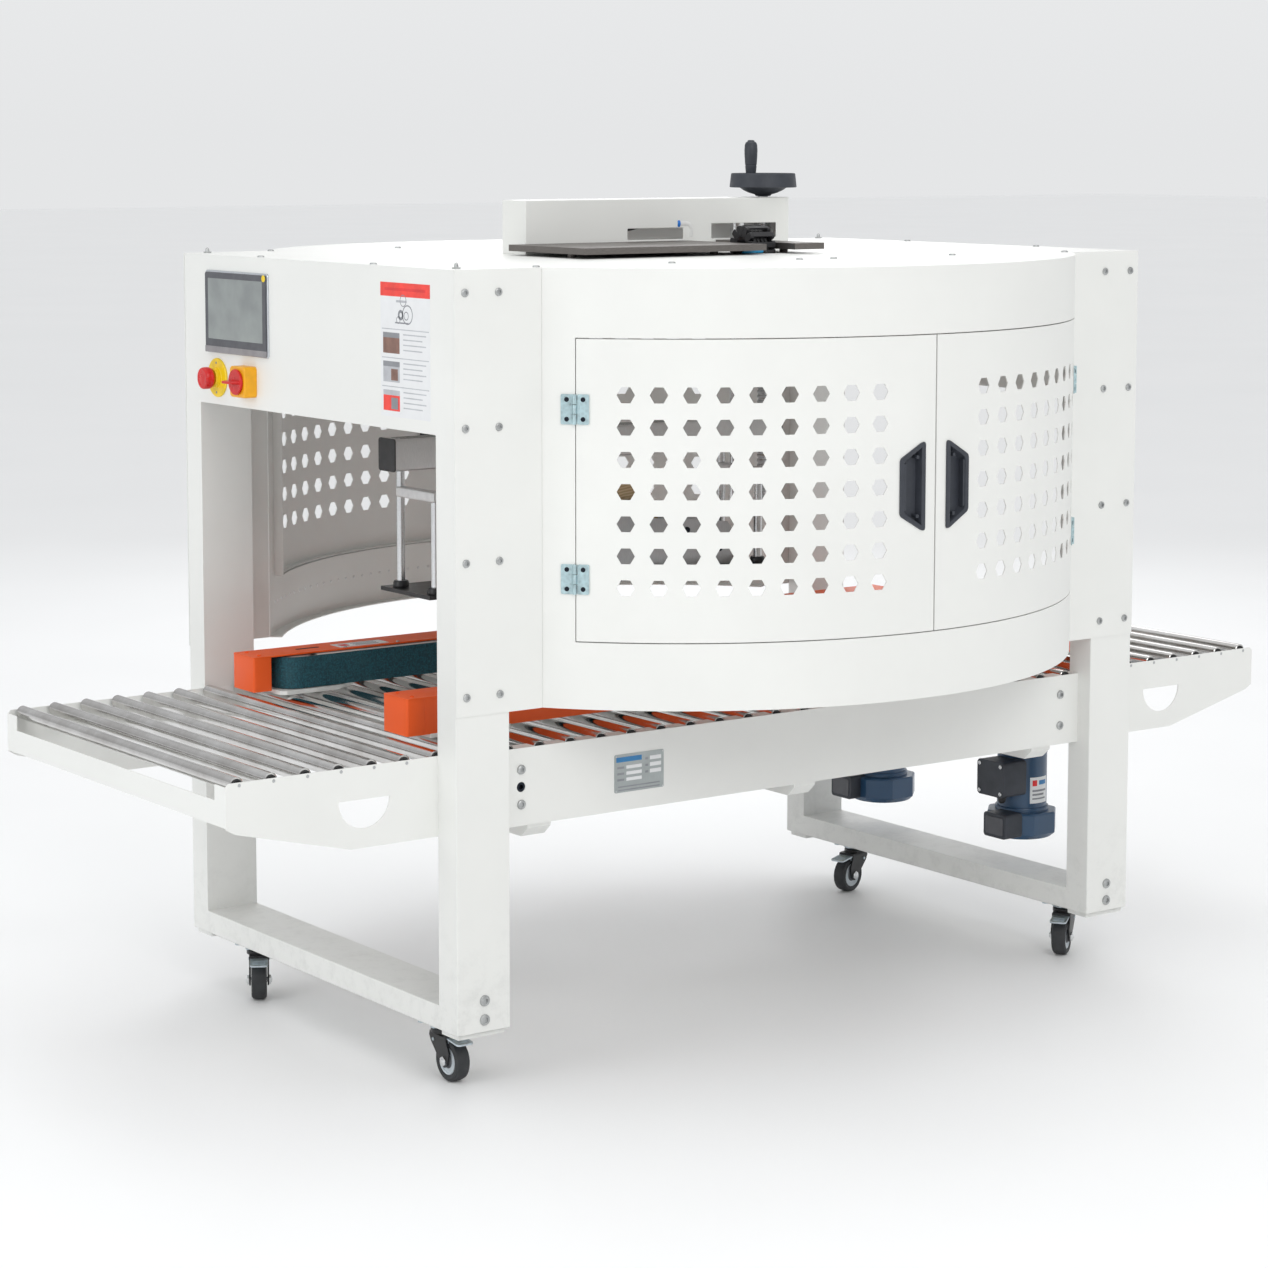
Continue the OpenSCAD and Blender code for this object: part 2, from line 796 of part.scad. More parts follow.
// The touch panel's bezel, the emergency stop collar and the switch's base
module control_panel() {
    color("#4a4d52") difference() {
        block([-cab_x - 7, 196, 1244], [-cab_x, 407, 1398]);
        block([-cab_x - 8, 214, 1266], [-cab_x - 6.2, 389, 1384]);
    }
    color("#e8c21c") difference() {
        union() {
            bar_x(37, [-cab_x - 4, estop_at[0], estop_at[1]], 4);
            bar_x(17, [-cab_x - 14, estop_at[0], estop_at[1]], 11);
        }
        bar_x(8 + gap, [-cab_x - 15, estop_at[0], estop_at[1]], 15.5);
    }
    color("#f0a010") difference() {
        block([-cab_x - switch_base, switch_at[0] - 29, switch_at[1] - 29],
            [-cab_x, switch_at[0] + 29, switch_at[1] + 29]);
        bar_x(6 + gap, [-cab_x - switch_base - 1, switch_at[0], switch_at[1]], switch_base - 4);
    }
}

// The mushroom head of the emergency stop
module estop_button() {
    color("#d01818") translate([-cab_x, estop_at[0], estop_at[1]]) rotate([0, -90, 0])
        rotate_extrude($fn = 96) polygon([
            [0, 7], [8, 7], [8, 20], [19, 20], [21, 23], [21, 28], [17, 33], [9, 35.5], [0, 36]
        ]);
}

// The rotary main switch's disc and grip bar
module switch_knob() {
    color("#d01818") translate([-cab_x - switch_base, switch_at[0], switch_at[1]]) union() {
        bar_x(6, [-1, 0, 0], 16);
        bar_x(24, [-6, 0, 0], 5.7);
        block([-24, -21, -4], [-5, 21, 4]);
    }
}

// ---------- fasteners ----------

// Visible screws on both long sides and on the roof
module frame_bolts() {
    face = -leg_out - sheet;
    color("#b9bcc0") both_x() both_y() {
        for (z = [699, 930, 1160, 1390], dx = [21, 89]) screw_head(cab_x - dx, face, z, 5.5, 3);
        for (z = [130, 164]) screw_head(cab_x - 56, -leg_out, z, 7.5, 4);
        for (z = [491, 553]) screw_head(guide_x, -rail_y, z, 6.5, 4);
        for (x = [40, 330, 620]) translate([x, -leg_out + 18, roof_z])
            cylinder(r = 5, h = 3, $fn = 32);
        translate([cab_x - 12, -200, roof_z]) cylinder(r = 5, h = 3, $fn = 32);
    }
}

// ---------- output ----------

infeed_portal();
outfeed_portal();
roof_panel();
front_guard();
rear_guard();
bed_frame();
infeed_wing();
outfeed_wing();
bed_rollers();
frame_bolts();
hinge_fixed_leaves();
caster_plates();
control_panel();
mast_cover();
bridge_plate();
guide_columns();
bottom_tape_unit();
energy_chain();
door_front_infeed();
door_front_outfeed();
door_rear_infeed();
door_rear_outfeed();
door_hardware_front_infeed();
door_hardware_front_outfeed();
door_hardware_rear_infeed();
door_hardware_rear_outfeed();
caster_fork_front_infeed();
caster_fork_front_outfeed();
caster_fork_rear_infeed();
caster_fork_rear_outfeed();
caster_wheel_front_infeed();
caster_wheel_front_outfeed();
caster_wheel_rear_infeed();
caster_wheel_rear_outfeed();
handwheel();
handwheel_grip();
lift_screw();
top_head();
top_tape_unit();
estop_button();
switch_knob();
belt_carrier_front();
belt_carrier_rear();
drive_belt_front();
drive_belt_rear();
drive_motor_front();
drive_motor_rear();
width_screw();
wing_roller(-1, 1);  // infeed_roller_1
wing_roller(-1, 2);  // infeed_roller_2
wing_roller(-1, 3);  // infeed_roller_3
wing_roller(-1, 4);  // infeed_roller_4
wing_roller(-1, 5);  // infeed_roller_5
wing_roller(-1, 6);  // infeed_roller_6
wing_roller(1, 1);  // outfeed_roller_1
wing_roller(1, 2);  // outfeed_roller_2
wing_roller(1, 3);  // outfeed_roller_3
wing_roller(1, 4);  // outfeed_roller_4
wing_roller(1, 5);  // outfeed_roller_5
wing_roller(1, 6);  // outfeed_roller_6
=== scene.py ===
import json
import math

import bmesh
import bpy
from mathutils import Matrix, Vector


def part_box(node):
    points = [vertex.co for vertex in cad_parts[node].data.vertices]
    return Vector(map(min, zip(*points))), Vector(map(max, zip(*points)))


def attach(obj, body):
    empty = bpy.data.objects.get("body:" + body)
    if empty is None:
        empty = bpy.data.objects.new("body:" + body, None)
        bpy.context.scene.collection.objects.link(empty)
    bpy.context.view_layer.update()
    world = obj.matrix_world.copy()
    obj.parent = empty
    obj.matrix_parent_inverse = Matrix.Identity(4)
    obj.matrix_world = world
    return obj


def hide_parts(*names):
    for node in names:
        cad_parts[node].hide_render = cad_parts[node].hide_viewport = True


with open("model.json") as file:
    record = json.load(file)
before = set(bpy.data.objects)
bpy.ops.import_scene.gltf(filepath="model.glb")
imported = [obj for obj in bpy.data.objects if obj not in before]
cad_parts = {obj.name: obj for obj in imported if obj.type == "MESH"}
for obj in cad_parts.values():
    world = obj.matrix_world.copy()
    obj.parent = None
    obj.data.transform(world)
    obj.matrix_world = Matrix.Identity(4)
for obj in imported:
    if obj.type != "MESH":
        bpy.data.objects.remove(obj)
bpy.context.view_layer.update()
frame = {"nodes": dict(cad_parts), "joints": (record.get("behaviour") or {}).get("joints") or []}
NODES = frame["nodes"]
ROOT = "machine_frame"
MM = 0.001


# ---------------------------------------------------------------- materials

class Graph:
    """A small helper around one material's node tree."""

    def __init__(self, name):
        self.mat = bpy.data.materials.new(name)
        self.mat.use_nodes = True
        self.tree = self.mat.node_tree
        self.shader = self.tree.nodes["Principled BSDF"]
        self.coords = self.add("ShaderNodeTexCoord").outputs["Object"]

    def add(self, kind, **values):
        node = self.tree.nodes.new(kind)
        for key, value in values.items():
            if key in node.inputs:
                node.inputs[key].default_value = value
            else:
                setattr(node, key, value)
        return node

    def link(self, out, into):
        self.tree.links.new(out, into)

    def set(self, **values):
        for key, value in values.items():
            self.shader.inputs[key.replace("_", " ")].default_value = value

    def stretched(self, scale):
        node = self.add("ShaderNodeMapping")
        node.inputs["Scale"].default_value = scale
        self.link(self.coords, node.inputs["Vector"])
        return node.outputs["Vector"]

    def noise(self, scale, detail=3.0, rough=0.5, vector=None):
        node = self.add("ShaderNodeTexNoise")
        node.inputs["Scale"].default_value = scale
        node.inputs["Detail"].default_value = detail
        node.inputs["Roughness"].default_value = rough
        self.link(vector or self.coords, node.inputs["Vector"])
        return node.outputs["Fac"]

    def ramp(self, fac, stops):
        node = self.add("ShaderNodeValToRGB")
        cells = node.color_ramp.elements
        while len(cells) < len(stops):
            cells.new(0.5)
        for cell, (pos, colour) in zip(cells, stops):
            cell.position = pos
            cell.color = tuple(colour) + (1.0,)
        self.link(fac, node.inputs["Fac"])
        return node.outputs["Color"]

    def span(self, fac, low, high, into_low=0.3, into_high=0.7):
        node = self.add("ShaderNodeMapRange")
        node.inputs["From Min"].default_value = into_low
        node.inputs["From Max"].default_value = into_high
        node.inputs["To Min"].default_value = low
        node.inputs["To Max"].default_value = high
        self.link(fac, node.inputs["Value"])
        return node.outputs["Result"]

    def mix(self, fac, a, b):
        node = self.add("ShaderNodeMix", data_type="RGBA")
        self.link(fac, node.inputs["Factor"])
        self.link(a, node.inputs[6])
        self.link(b, node.inputs[7])
        return node.outputs[2]

    def bump(self, height, strength, distance, below=None):
        node = self.add("ShaderNodeBump")
        node.inputs["Strength"].default_value = strength
        node.inputs["Distance"].default_value = distance
        self.link(height, node.inputs["Height"])
        if below is not None:
            self.link(below, node.inputs["Normal"])
        return node.outputs["Normal"]

    def colour(self, out):
        self.link(out, self.shader.inputs["Base Color"])

    def rough(self, out):
        self.link(out, self.shader.inputs["Roughness"])

    def normal(self, out):
        self.link(out, self.shader.inputs["Normal"])


def tone(colour, factor):
    """A colour made lighter or darker."""
    return tuple(min(1.0, c * factor) for c in colour)


def coated(name, colour, rough, peel=0.12, vary=0.05, grime=0.0, coat=0.0):
    """Powder coat or enamel: fine orange peel, cloudy tone and, near the floor, a little grime."""
    g = Graph(name)
    cloud = g.noise(3.5, 4.0, 0.6)
    base = g.ramp(cloud, [(0.3, tone(colour, 1.0 - vary)), (0.7, tone(colour, 1.0 + vary * 0.4))])
    if grime:
        split = g.add("ShaderNodeSeparateXYZ")
        g.link(g.coords, split.inputs[0])
        height = g.span(split.outputs["Z"], 1.0, 0.0, 0.1, 0.32)
        spots = g.add("ShaderNodeMath", operation="MULTIPLY")
        g.link(height, spots.inputs[0])
        g.link(g.span(g.noise(30.0, 6.0, 0.7), 0.0, grime, 0.48, 0.75), spots.inputs[1])
        dirt = g.ramp(cloud, [(0.3, tone(colour, 0.5)), (0.7, tone(colour, 0.62))])
        base = g.mix(spots.outputs[0], base, dirt)
    g.colour(base)
    g.rough(g.span(g.noise(14.0, 3.0), rough - 0.06, rough + 0.07))
    fine = g.bump(g.noise(620.0, 2.0), peel, 0.0004)
    g.normal(g.bump(g.noise(9.0, 2.0), 0.05, 0.002, fine))
    g.set(Coat_Weight=coat, Coat_Roughness=0.2)
    return g.mat


def plastic(name, colour, rough, grain=0.25, grain_scale=900.0, vary=0.12):
    """Moulded plastic with a fine grain."""
    g = Graph(name)
    g.colour(g.ramp(g.noise(40.0, 4.0), [(0.3, tone(colour, 1 - vary)), (0.7, tone(colour, 1 + vary))]))
    g.rough(g.span(g.noise(60.0, 3.0), rough - 0.07, rough + 0.08))
    g.normal(g.bump(g.noise(grain_scale, 2.0), grain, 0.0003))
    return g.mat


def metal(name, colour, rough, stretch=(1, 1, 1), scratch=0.15, vary=0.08):
    """Bare or plated metal with fine drawn marks along the short axis of stretch."""
    g = Graph(name)
    marks = g.noise(90.0, 5.0, 0.6, g.stretched(stretch))
    g.colour(g.ramp(marks, [(0.25, tone(colour, 1 - vary)), (0.75, tone(colour, 1 + vary))]))
    g.rough(g.span(g.noise(25.0, 4.0), rough - 0.05, rough + 0.12))
    g.normal(g.bump(marks, scratch, 0.0002))
    g.set(Metallic=1.0)
    return g.mat


def zinc_plate(name, colour):
    """Blue zinc with its cloudy crystals."""
    g = Graph(name)
    cells = g.add("ShaderNodeTexVoronoi", feature="F1")
    cells.inputs["Scale"].default_value = 160.0
    g.link(g.coords, cells.inputs["Vector"])
    cloud = g.noise(70.0, 5.0, 0.65)
    both = g.add("ShaderNodeMath", operation="MULTIPLY_ADD")
    g.link(cells.outputs["Distance"], both.inputs[0])
    both.inputs[1].default_value = 0.35
    g.link(cloud, both.inputs[2])
    g.colour(g.ramp(both.outputs[0], [(0.35, tone(colour, 0.7)), (0.55, colour), (0.85, tone(colour, 1.25))]))
    g.rough(g.span(cloud, 0.28, 0.5))
    g.normal(g.bump(cloud, 0.2, 0.0003))
    g.set(Metallic=0.9)
    return g.mat


def belt_rubber(name, colour):
    """Rough-top conveyor rubber: small irregular pebbles and a dusty top."""
    g = Graph(name)
    cells = g.add("ShaderNodeTexVoronoi", feature="SMOOTH_F1")
    cells.inputs["Scale"].default_value = 330.0
    g.link(g.coords, cells.inputs["Vector"])
    dust = g.noise(35.0, 6.0, 0.7)
    top = g.ramp(cells.outputs["Distance"], [(0.1, tone(colour, 1.5)), (0.6, tone(colour, 0.55))])
    worn = g.ramp(dust, [(0.3, tone(colour, 0.8)), (0.75, (0.05, 0.13, 0.15))])
    g.colour(g.mix(g.span(dust, 0.1, 0.55, 0.4, 0.75), top, worn))
    g.rough(g.span(dust, 0.62, 0.85))
    g.normal(g.bump(cells.outputs["Distance"], 0.8, 0.0012))
    return g.mat


def chrome_tube(name):
    """Bright chrome on rollers: faint turned rings and handling smears."""
    g = Graph(name)
    rings = g.noise(60.0, 4.0, 0.6, g.stretched((0.4, 9.0, 0.4)))
    smear = g.noise(9.0, 5.0, 0.65)
    g.colour(g.ramp(smear, [(0.3, (0.5, 0.485, 0.47)), (0.7, (0.72, 0.715, 0.71))]))
    g.rough(g.span(smear, 0.08, 0.2))
    g.normal(g.bump(rings, 0.12, 0.0002))
    g.set(Metallic=1.0)
    return g.mat


def tape_wound(name):
    """The side of a tape roll: fine concentric layers in kraft tan."""
    g = Graph(name)
    wave = g.add("ShaderNodeTexWave", wave_type="RINGS", rings_direction="SPHERICAL")
    wave.inputs["Scale"].default_value = 55.0
    wave.inputs["Distortion"].default_value = 1.5
    g.link(g.coords, wave.inputs["Vector"])
    g.colour(g.ramp(wave.outputs["Fac"], [(0.2, (0.45, 0.31, 0.16)), (0.8, (0.62, 0.46, 0.27))]))
    g.rough(g.span(g.noise(50.0), 0.3, 0.45))
    g.normal(g.bump(wave.outputs["Fac"], 0.15, 0.0004))
    g.set(Coat_Weight=0.3, Coat_Roughness=0.15)
    return g.mat


def screen_face(name):
    """A switched-off panel behind a matt film, with a faint lighter glow across it."""
    g = Graph(name)
    g.colour(g.ramp(g.noise(11.0, 3.0), [(0.35, (0.2, 0.22, 0.22)), (0.65, (0.29, 0.32, 0.31))]))
    g.rough(g.span(g.noise(40.0, 3.0), 0.3, 0.42))
    g.normal(g.bump(g.noise(1500.0, 1.0), 0.08, 0.0001))
    g.set(Coat_Weight=0.5, Coat_Roughness=0.12)
    return g.mat


def floor_paint(name):
    """Pale seamless studio floor."""
    g = Graph(name)
    g.colour(g.ramp(g.noise(0.6, 3.0), [(0.3, (0.93, 0.933, 0.936)), (0.7, (0.95, 0.951, 0.953))]))
    g.rough(g.span(g.noise(2.0), 0.5, 0.62))
    return g.mat


WHITE_COLOUR = (0.83, 0.835, 0.81)
M = {
    "white": coated("white_powder_coat", WHITE_COLOUR, 0.42, vary=0.03, grime=0.35),
    "orange": coated("orange_coat", (0.95, 0.115, 0.01), 0.45, peel=0.1, vary=0.06),
    "blue": coated("blue_enamel", (0.022, 0.075, 0.16), 0.34, peel=0.25, vary=0.2, coat=0.25),
    "dark_plate": metal("dark_milled_plate", (0.2, 0.185, 0.175), 0.45, (1, 14, 14), 0.4, 0.25),
    "chrome": chrome_tube("chrome_tube"),
    "bright": metal("bright_steel", (0.7, 0.71, 0.72), 0.16, (1, 1, 8), 0.08),
    "steel": metal("satin_steel", (0.52, 0.53, 0.54), 0.34, (8, 1, 1), 0.2),
    "alloy": metal("anodised_alloy", (0.72, 0.72, 0.72), 0.42, (9, 1, 1), 0.15),
    "zinc": zinc_plate("blue_zinc", (0.5, 0.56, 0.6)),
    "gold_zinc": zinc_plate("yellow_zinc", (0.5, 0.38, 0.12)),
    "bolt_zinc": zinc_plate("bolt_zinc", (0.42, 0.43, 0.43)),
    "hinge_zinc": zinc_plate("hinge_zinc", (0.42, 0.55, 0.58)),
    "dark_screw": metal("blackened_screw", (0.03, 0.035, 0.045), 0.35, (1, 1, 1), 0.1),
    "brass": metal("bronze_nut", (0.55, 0.38, 0.16), 0.35, (1, 1, 6), 0.15),
    "rivet": metal("rivet_alloy", (0.75, 0.76, 0.76), 0.3, (1, 1, 1), 0.1),
    "plate_alloy": metal("rating_plate_alloy", (0.4, 0.43, 0.43), 0.42, (10, 1, 1), 0.1),
    "black": plastic("black_plastic", (0.018, 0.018, 0.02), 0.42),
    "black_coat": coated("black_enamel", (0.012, 0.012, 0.014), 0.32, peel=0.3, vary=0.2),
    "charcoal": plastic("charcoal_grain", (0.035, 0.04, 0.052), 0.5, 0.4),
    "bezel": plastic("bezel_grey", (0.085, 0.088, 0.1), 0.45),
    "panel_rim": metal("panel_rim_alloy", (0.62, 0.65, 0.68), 0.36, (1, 8, 1), 0.1),
    "screen": screen_face("screen_face"),
    "red": plastic("red_moulding", (0.62, 0.012, 0.012), 0.3, 0.08),
    "yellow": plastic("yellow_moulding", (0.85, 0.6, 0.01), 0.34, 0.1),
    "amber": plastic("amber_moulding", (0.9, 0.42, 0.004), 0.36, 0.1),
    "tyre": plastic("tyre_rubber", (0.03, 0.032, 0.035), 0.6, 0.5, 500.0),
    "hub": plastic("hub_nylon", (0.1, 0.105, 0.115), 0.4, 0.2),
    "hub_ring": plastic("hub_seal_ring", (0.55, 0.6, 0.64), 0.35, 0.1),
    "band": plastic("panel_lower_band", (0.27, 0.26, 0.27), 0.42, 0.15),
    # near-black patches laid over solid surfaces where slots would be: painted shade, not a cut opening
    "painted_slot_shade": plastic("slot_shadow", (0.008, 0.008, 0.009), 0.7, 0.2),
    "ink_header": plastic("label_header", (0.86, 0.055, 0.04), 0.4, 0.05),
    "ink_pale": plastic("label_pale_grey", (0.48, 0.49, 0.52), 0.45, 0.05),
    "valve_blue": plastic("valve_blue", (0.005, 0.26, 0.5), 0.3, 0.1),
    "belt": belt_rubber("teal_rough_top", (0.01, 0.085, 0.115)),
    "belt_side": plastic("belt_ply", (0.13, 0.12, 0.11), 0.75, 0.6, 700.0),
    "tape": tape_wound("tape_wound"),
    "rubber_roll": plastic("roller_rubber", (0.045, 0.045, 0.05), 0.55, 0.4),
    "paper": plastic("label_film", (0.8, 0.81, 0.82), 0.38, 0.05, vary=0.02),
    "ink_red": plastic("label_red", (0.75, 0.03, 0.03), 0.4, 0.05),
    "ink_grey": plastic("label_grey", (0.25, 0.26, 0.28), 0.45, 0.05),
    "ink_brown": plastic("label_brown", (0.24, 0.13, 0.1), 0.45, 0.05, 300.0, 0.3),
    "ink_blue": plastic("label_blue", (0.03, 0.2, 0.45), 0.4, 0.05),
    "fitting_white": plastic("fitting_white", (0.75, 0.75, 0.74), 0.35, 0.1),
    "fitting_blue": plastic("fitting_blue", (0.01, 0.17, 0.6), 0.35, 0.1),
    "hose": plastic("hose_black", (0.02, 0.02, 0.022), 0.35, 0.1),
}


# ---------------------------------------------------------------- mesh building

class Piece:
    """Collects parts with their own materials in one mesh. Lengths are in millimetres."""

    def __init__(self, name):
        self.name = name
        self.bm = bmesh.new()
        self.mats = []

    def _index(self, mat):
        if mat not in self.mats:
            self.mats.append(mat)
        return self.mats.index(mat)

    def _paint(self, faces, mat):
        index = self._index(mat)
        for face in faces:
            face.material_index = index

    def prism(self, outline, low, high, mat, axis="z", place=None):
        """An outline drawn in the other two axes (in X, Y, Z order), from low to high along axis."""
        order = {"x": lambda a, b, h: (h, a, b), "y": lambda a, b, h: (a, h, b),
                 "z": lambda a, b, h: (a, b, h)}[axis]
        rings = []
        for h in (low, high):
            rings.append([self.bm.verts.new(Vector(order(a, b, h)) * MM) for a, b in outline])
        faces = [self.bm.faces.new(rings[0]), self.bm.faces.new(rings[1])]
        for i in range(len(outline)):
            j = (i + 1) % len(outline)
            faces.append(self.bm.faces.new((rings[0][i], rings[0][j], rings[1][j], rings[1][i])))
        return self._done(rings[0] + rings[1], faces, mat, place)

    def _done(self, verts, faces, mat, place):
        if place is not None:
            bmesh.ops.transform(self.bm, matrix=place, verts=verts)
        bmesh.ops.recalc_face_normals(self.bm, faces=faces)
        self._paint(faces, mat)
        return faces

    def box(self, low, high, mat, place=None):
        (x0, y0, z0), (x1, y1, z1) = low, high
        return self.prism([(x0, y0), (x1, y0), (x1, y1), (x0, y1)], z0, z1, mat, "z", place)

    def rounded_box(self, low, high, r, mat, axis="z", place=None):
        """A box whose four edges along axis are rounded."""
        keep = [i for i in range(3) if i != "xyz".index(axis)]
        a0, b0 = (low[i] for i in keep)
        a1, b1 = (high[i] for i in keep)
        h = "xyz".index(axis)
        return self.prism(rounded(a0, b0, a1, b1, r), low[h], high[h], mat, axis, place)

    def lathe(self, profile, mat, centre=(0, 0, 0), axis="z", segments=48, place=None):
        """Turns (radius, height) points about an axis through centre; a third number makes that ring
        a polygon with so many sides. Radius 0 closes on the axis."""
        turn = {"z": Matrix(), "x": Matrix.Rotation(math.pi / 2, 4, "Y"),
                "y": Matrix.Rotation(-math.pi / 2, 4, "X")}[axis]
        at = Matrix.Translation(Vector(centre) * MM) @ turn
        if place is not None:
            at = place @ at
        rings = []
        for radius, height, *sides in profile:
            if radius <= 0:
                rings.append([self.bm.verts.new((0, 0, height * MM))])
                continue
            ring = []
            for k in range(segments):
                t = 2 * math.pi * k / segments
                reach = radius * MM / (flat_share(t, sides[0]) if sides else 1)
                ring.append(self.bm.verts.new((reach * math.cos(t), reach * math.sin(t), height * MM)))
            rings.append(ring)
        faces = []
        closed = profile[0] == profile[-1]
        pairs = list(zip(rings, rings[1:]))
        for low, high in pairs:
            for k in range(segments):
                n = (k + 1) % segments
                quad = [low[k % len(low)], low[n % len(low)], high[n % len(high)], high[k % len(high)]]
                corners = []
                for v in quad:
                    if v not in corners:
                        corners.append(v)
                if len(corners) > 2:
                    faces.append(self.bm.faces.new(corners))
        if not closed:
            for ring in (rings[0], rings[-1]):
                if len(ring) > 2:
                    faces.append(self.bm.faces.new(ring))
        verts = [v for ring in rings for v in ring]
        return self._done(verts, faces, mat, at)

    def loft(self, rings, mat, place=None):
        """Skins a row of equal outlines, given as rings of points, and closes both ends."""
        made = [[self.bm.verts.new(Vector(point) * MM) for point in ring] for ring in rings]
        faces = [self.bm.faces.new(made[0]), self.bm.faces.new(made[-1])]
        for low, high in zip(made, made[1:]):
            for k in range(len(low)):
                n = (k + 1) % len(low)
                faces.append(self.bm.faces.new((low[k], low[n], high[n], high[k])))
        return self._done([v for ring in made for v in ring], faces, mat, place)

    def ring(self, outer, inner, low, high, mat):
        """A closed band between two outlines in plan."""
        ends = []
        for h in (low, high):
            around = [self.bm.verts.new(Vector((x, y, h)) * MM) for x, y in outer]
            within = [self.bm.verts.new(Vector((x, y, h)) * MM) for x, y in inner]
            ends.append((around, within))
        (o0, i0), (o1, i1) = ends
        faces = []
        for a, b in ((o0, o1), (i0, i1)):
            for k in range(len(a)):
                n = (k + 1) % len(a)
                faces.append(self.bm.faces.new((a[k], a[n], b[n], b[k])))
        for around, within in ends:
            edges = []
            for loop in (around, within):
                for k in range(len(loop)):
                    pair = (loop[k], loop[(k + 1) % len(loop)])
                    edges.append(self.bm.edges.get(pair) or self.bm.edges.new(pair))
            filled = bmesh.ops.triangle_fill(self.bm, use_beauty=True, edges=edges)
            faces += [item for item in filled["geom"] if isinstance(item, bmesh.types.BMFace)]
        return self._done(o0 + i0 + o1 + i1, faces, mat, None)

    def rod(self, r, start, length, mat, axis="z", chamfer=0.6, segments=32, place=None):
        c = min(chamfer, r * 0.4, length * 0.4)
        return self.lathe([(0, 0), (r - c, 0), (r, c), (r, length - c), (r - c, length), (0, length)],
                          mat, start, axis, segments, place)

    def sweep(self, points, r, mat, sides=12, place=None):
        """A round tube along points."""
        pts = [Vector(p) * MM for p in points]
        rings = []
        up = Vector((0.13, 0.2, 0.97))
        for i, p in enumerate(pts):
            along = (pts[min(i + 1, len(pts) - 1)] - pts[max(i - 1, 0)]).normalized()
            side = along.cross(up).normalized()
            top = side.cross(along)
            rings.append([self.bm.verts.new(p + (side * math.cos(t) + top * math.sin(t)) * r * MM)
                          for t in (2 * math.pi * k / sides for k in range(sides))])
        faces = [self.bm.faces.new(rings[0]), self.bm.faces.new(rings[-1])]
        for low, high in zip(rings, rings[1:]):
            for k in range(sides):
                n = (k + 1) % sides
                faces.append(self.bm.faces.new((low[k], low[n], high[n], high[k])))
        return self._done([v for ring in rings for v in ring], faces, mat, place)

    def finish(self, body, replaces=(), bevel=0.5, mirror=None, place=None):
        """Makes the object: bevelled edges, smooth shading, on its body."""
        for axis in mirror or ():
            bmesh.ops.scale(self.bm, vec=[-1 if a == axis else 1 for a in "xyz"], verts=self.bm.verts)
            bmesh.ops.reverse_faces(self.bm, faces=self.bm.faces)
        if place is not None:
            bmesh.ops.transform(self.bm, matrix=place, verts=self.bm.verts)
        mesh = bpy.data.meshes.new(self.name)
        self.bm.to_mesh(mesh)
        self.bm.free()
        for mat in self.mats:
            mesh.materials.append(M[mat])
        obj = bpy.data.objects.new(self.name, mesh)
        bpy.context.collection.objects.link(obj)
        soften(obj, bevel)
        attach(obj, body)
        if replaces:
            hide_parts(*replaces)
        return obj


def soften(obj, bevel):
    """Smooth shading with a small bevel on every sharp edge."""
    obj.data.shade_smooth()
    obj.data.set_sharp_from_angle(angle=math.radians(32))
    if bevel:
        edge = obj.modifiers.new("edges", "BEVEL")
        edge.width = bevel * MM
        edge.segments = 2
        edge.limit_method = "ANGLE"
        edge.angle_limit = math.radians(40)
        edge.harden_normals = True
        edge.use_clamp_overlap = True


def rounded(x0, y0, x1, y1, r, steps=5):
    """The outline of a rectangle with round corners."""
    points = []
    corners = [(x1 - r, y0 + r, -90), (x1 - r, y1 - r, 0), (x0 + r, y1 - r, 90), (x0 + r, y0 + r, 180)]
    for cx, cy, start in corners:
        for k in range(steps + 1):
            t = math.radians(start + 90 * k / steps)
            points.append((cx + r * math.cos(t), cy + r * math.sin(t)))
    return points


def round_corners(points, r, steps=4):
    """An outline with each corner replaced by a small curve about r long on each side."""
    out = []
    for k, point in enumerate(points):
        here = Vector(point)
        before = Vector(points[k - 1]) - here
        after = Vector(points[(k + 1) % len(points)]) - here
        start = here + before.normalized() * min(r, before.length * 0.45)
        end = here + after.normalized() * min(r, after.length * 0.45)
        for i in range(steps + 1):
            t = i / steps
            out.append(tuple(start * (1 - t) ** 2 + here * (2 * t * (1 - t)) + end * t ** 2))
    return out


def flat_share(t, sides):
    """How far inside its corners a regular polygon's edge lies at angle t, from 1 at a flat's middle."""
    half = math.pi / sides
    return math.cos((t + half) % (2 * half) - half)


def arc(cx, cy, r, start, end, steps):
    """Points on an arc, angles in degrees."""
    return [(cx + r * math.cos(math.radians(start + (end - start) * k / steps)),
             cy + r * math.sin(math.radians(start + (end - start) * k / steps)))
            for k in range(steps + 1)]


def box_mm(node):
    """A CAD node's box in millimetres: low corner, high corner, middle."""
    low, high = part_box(node)
    low, high = Vector(low) / MM, Vector(high) / MM
    return low, high, (low + high) / 2


def solids(node):
    """The boxes, in millimetres, of the separate solids in a CAD node."""
    bm = bmesh.new()
    bm.from_mesh(NODES[node].data)
    bmesh.ops.remove_doubles(bm, verts=bm.verts, dist=0.000002)
    seen, found = set(), []
    for first in bm.verts:
        if first in seen:
            continue
        seen.add(first)
        group, waiting = [], [first]
        while waiting:
            vert = waiting.pop()
            group.append(vert.co / MM)
            for edge in vert.link_edges:
                other = edge.other_vert(vert)
                if other not in seen:
                    seen.add(other)
                    waiting.append(other)
        low = Vector([min(co[i] for co in group) for i in range(3)])
        high = Vector([max(co[i] for co in group) for i in range(3)])
        found.append((low, high, (low + high) / 2))
    bm.free()
    return found


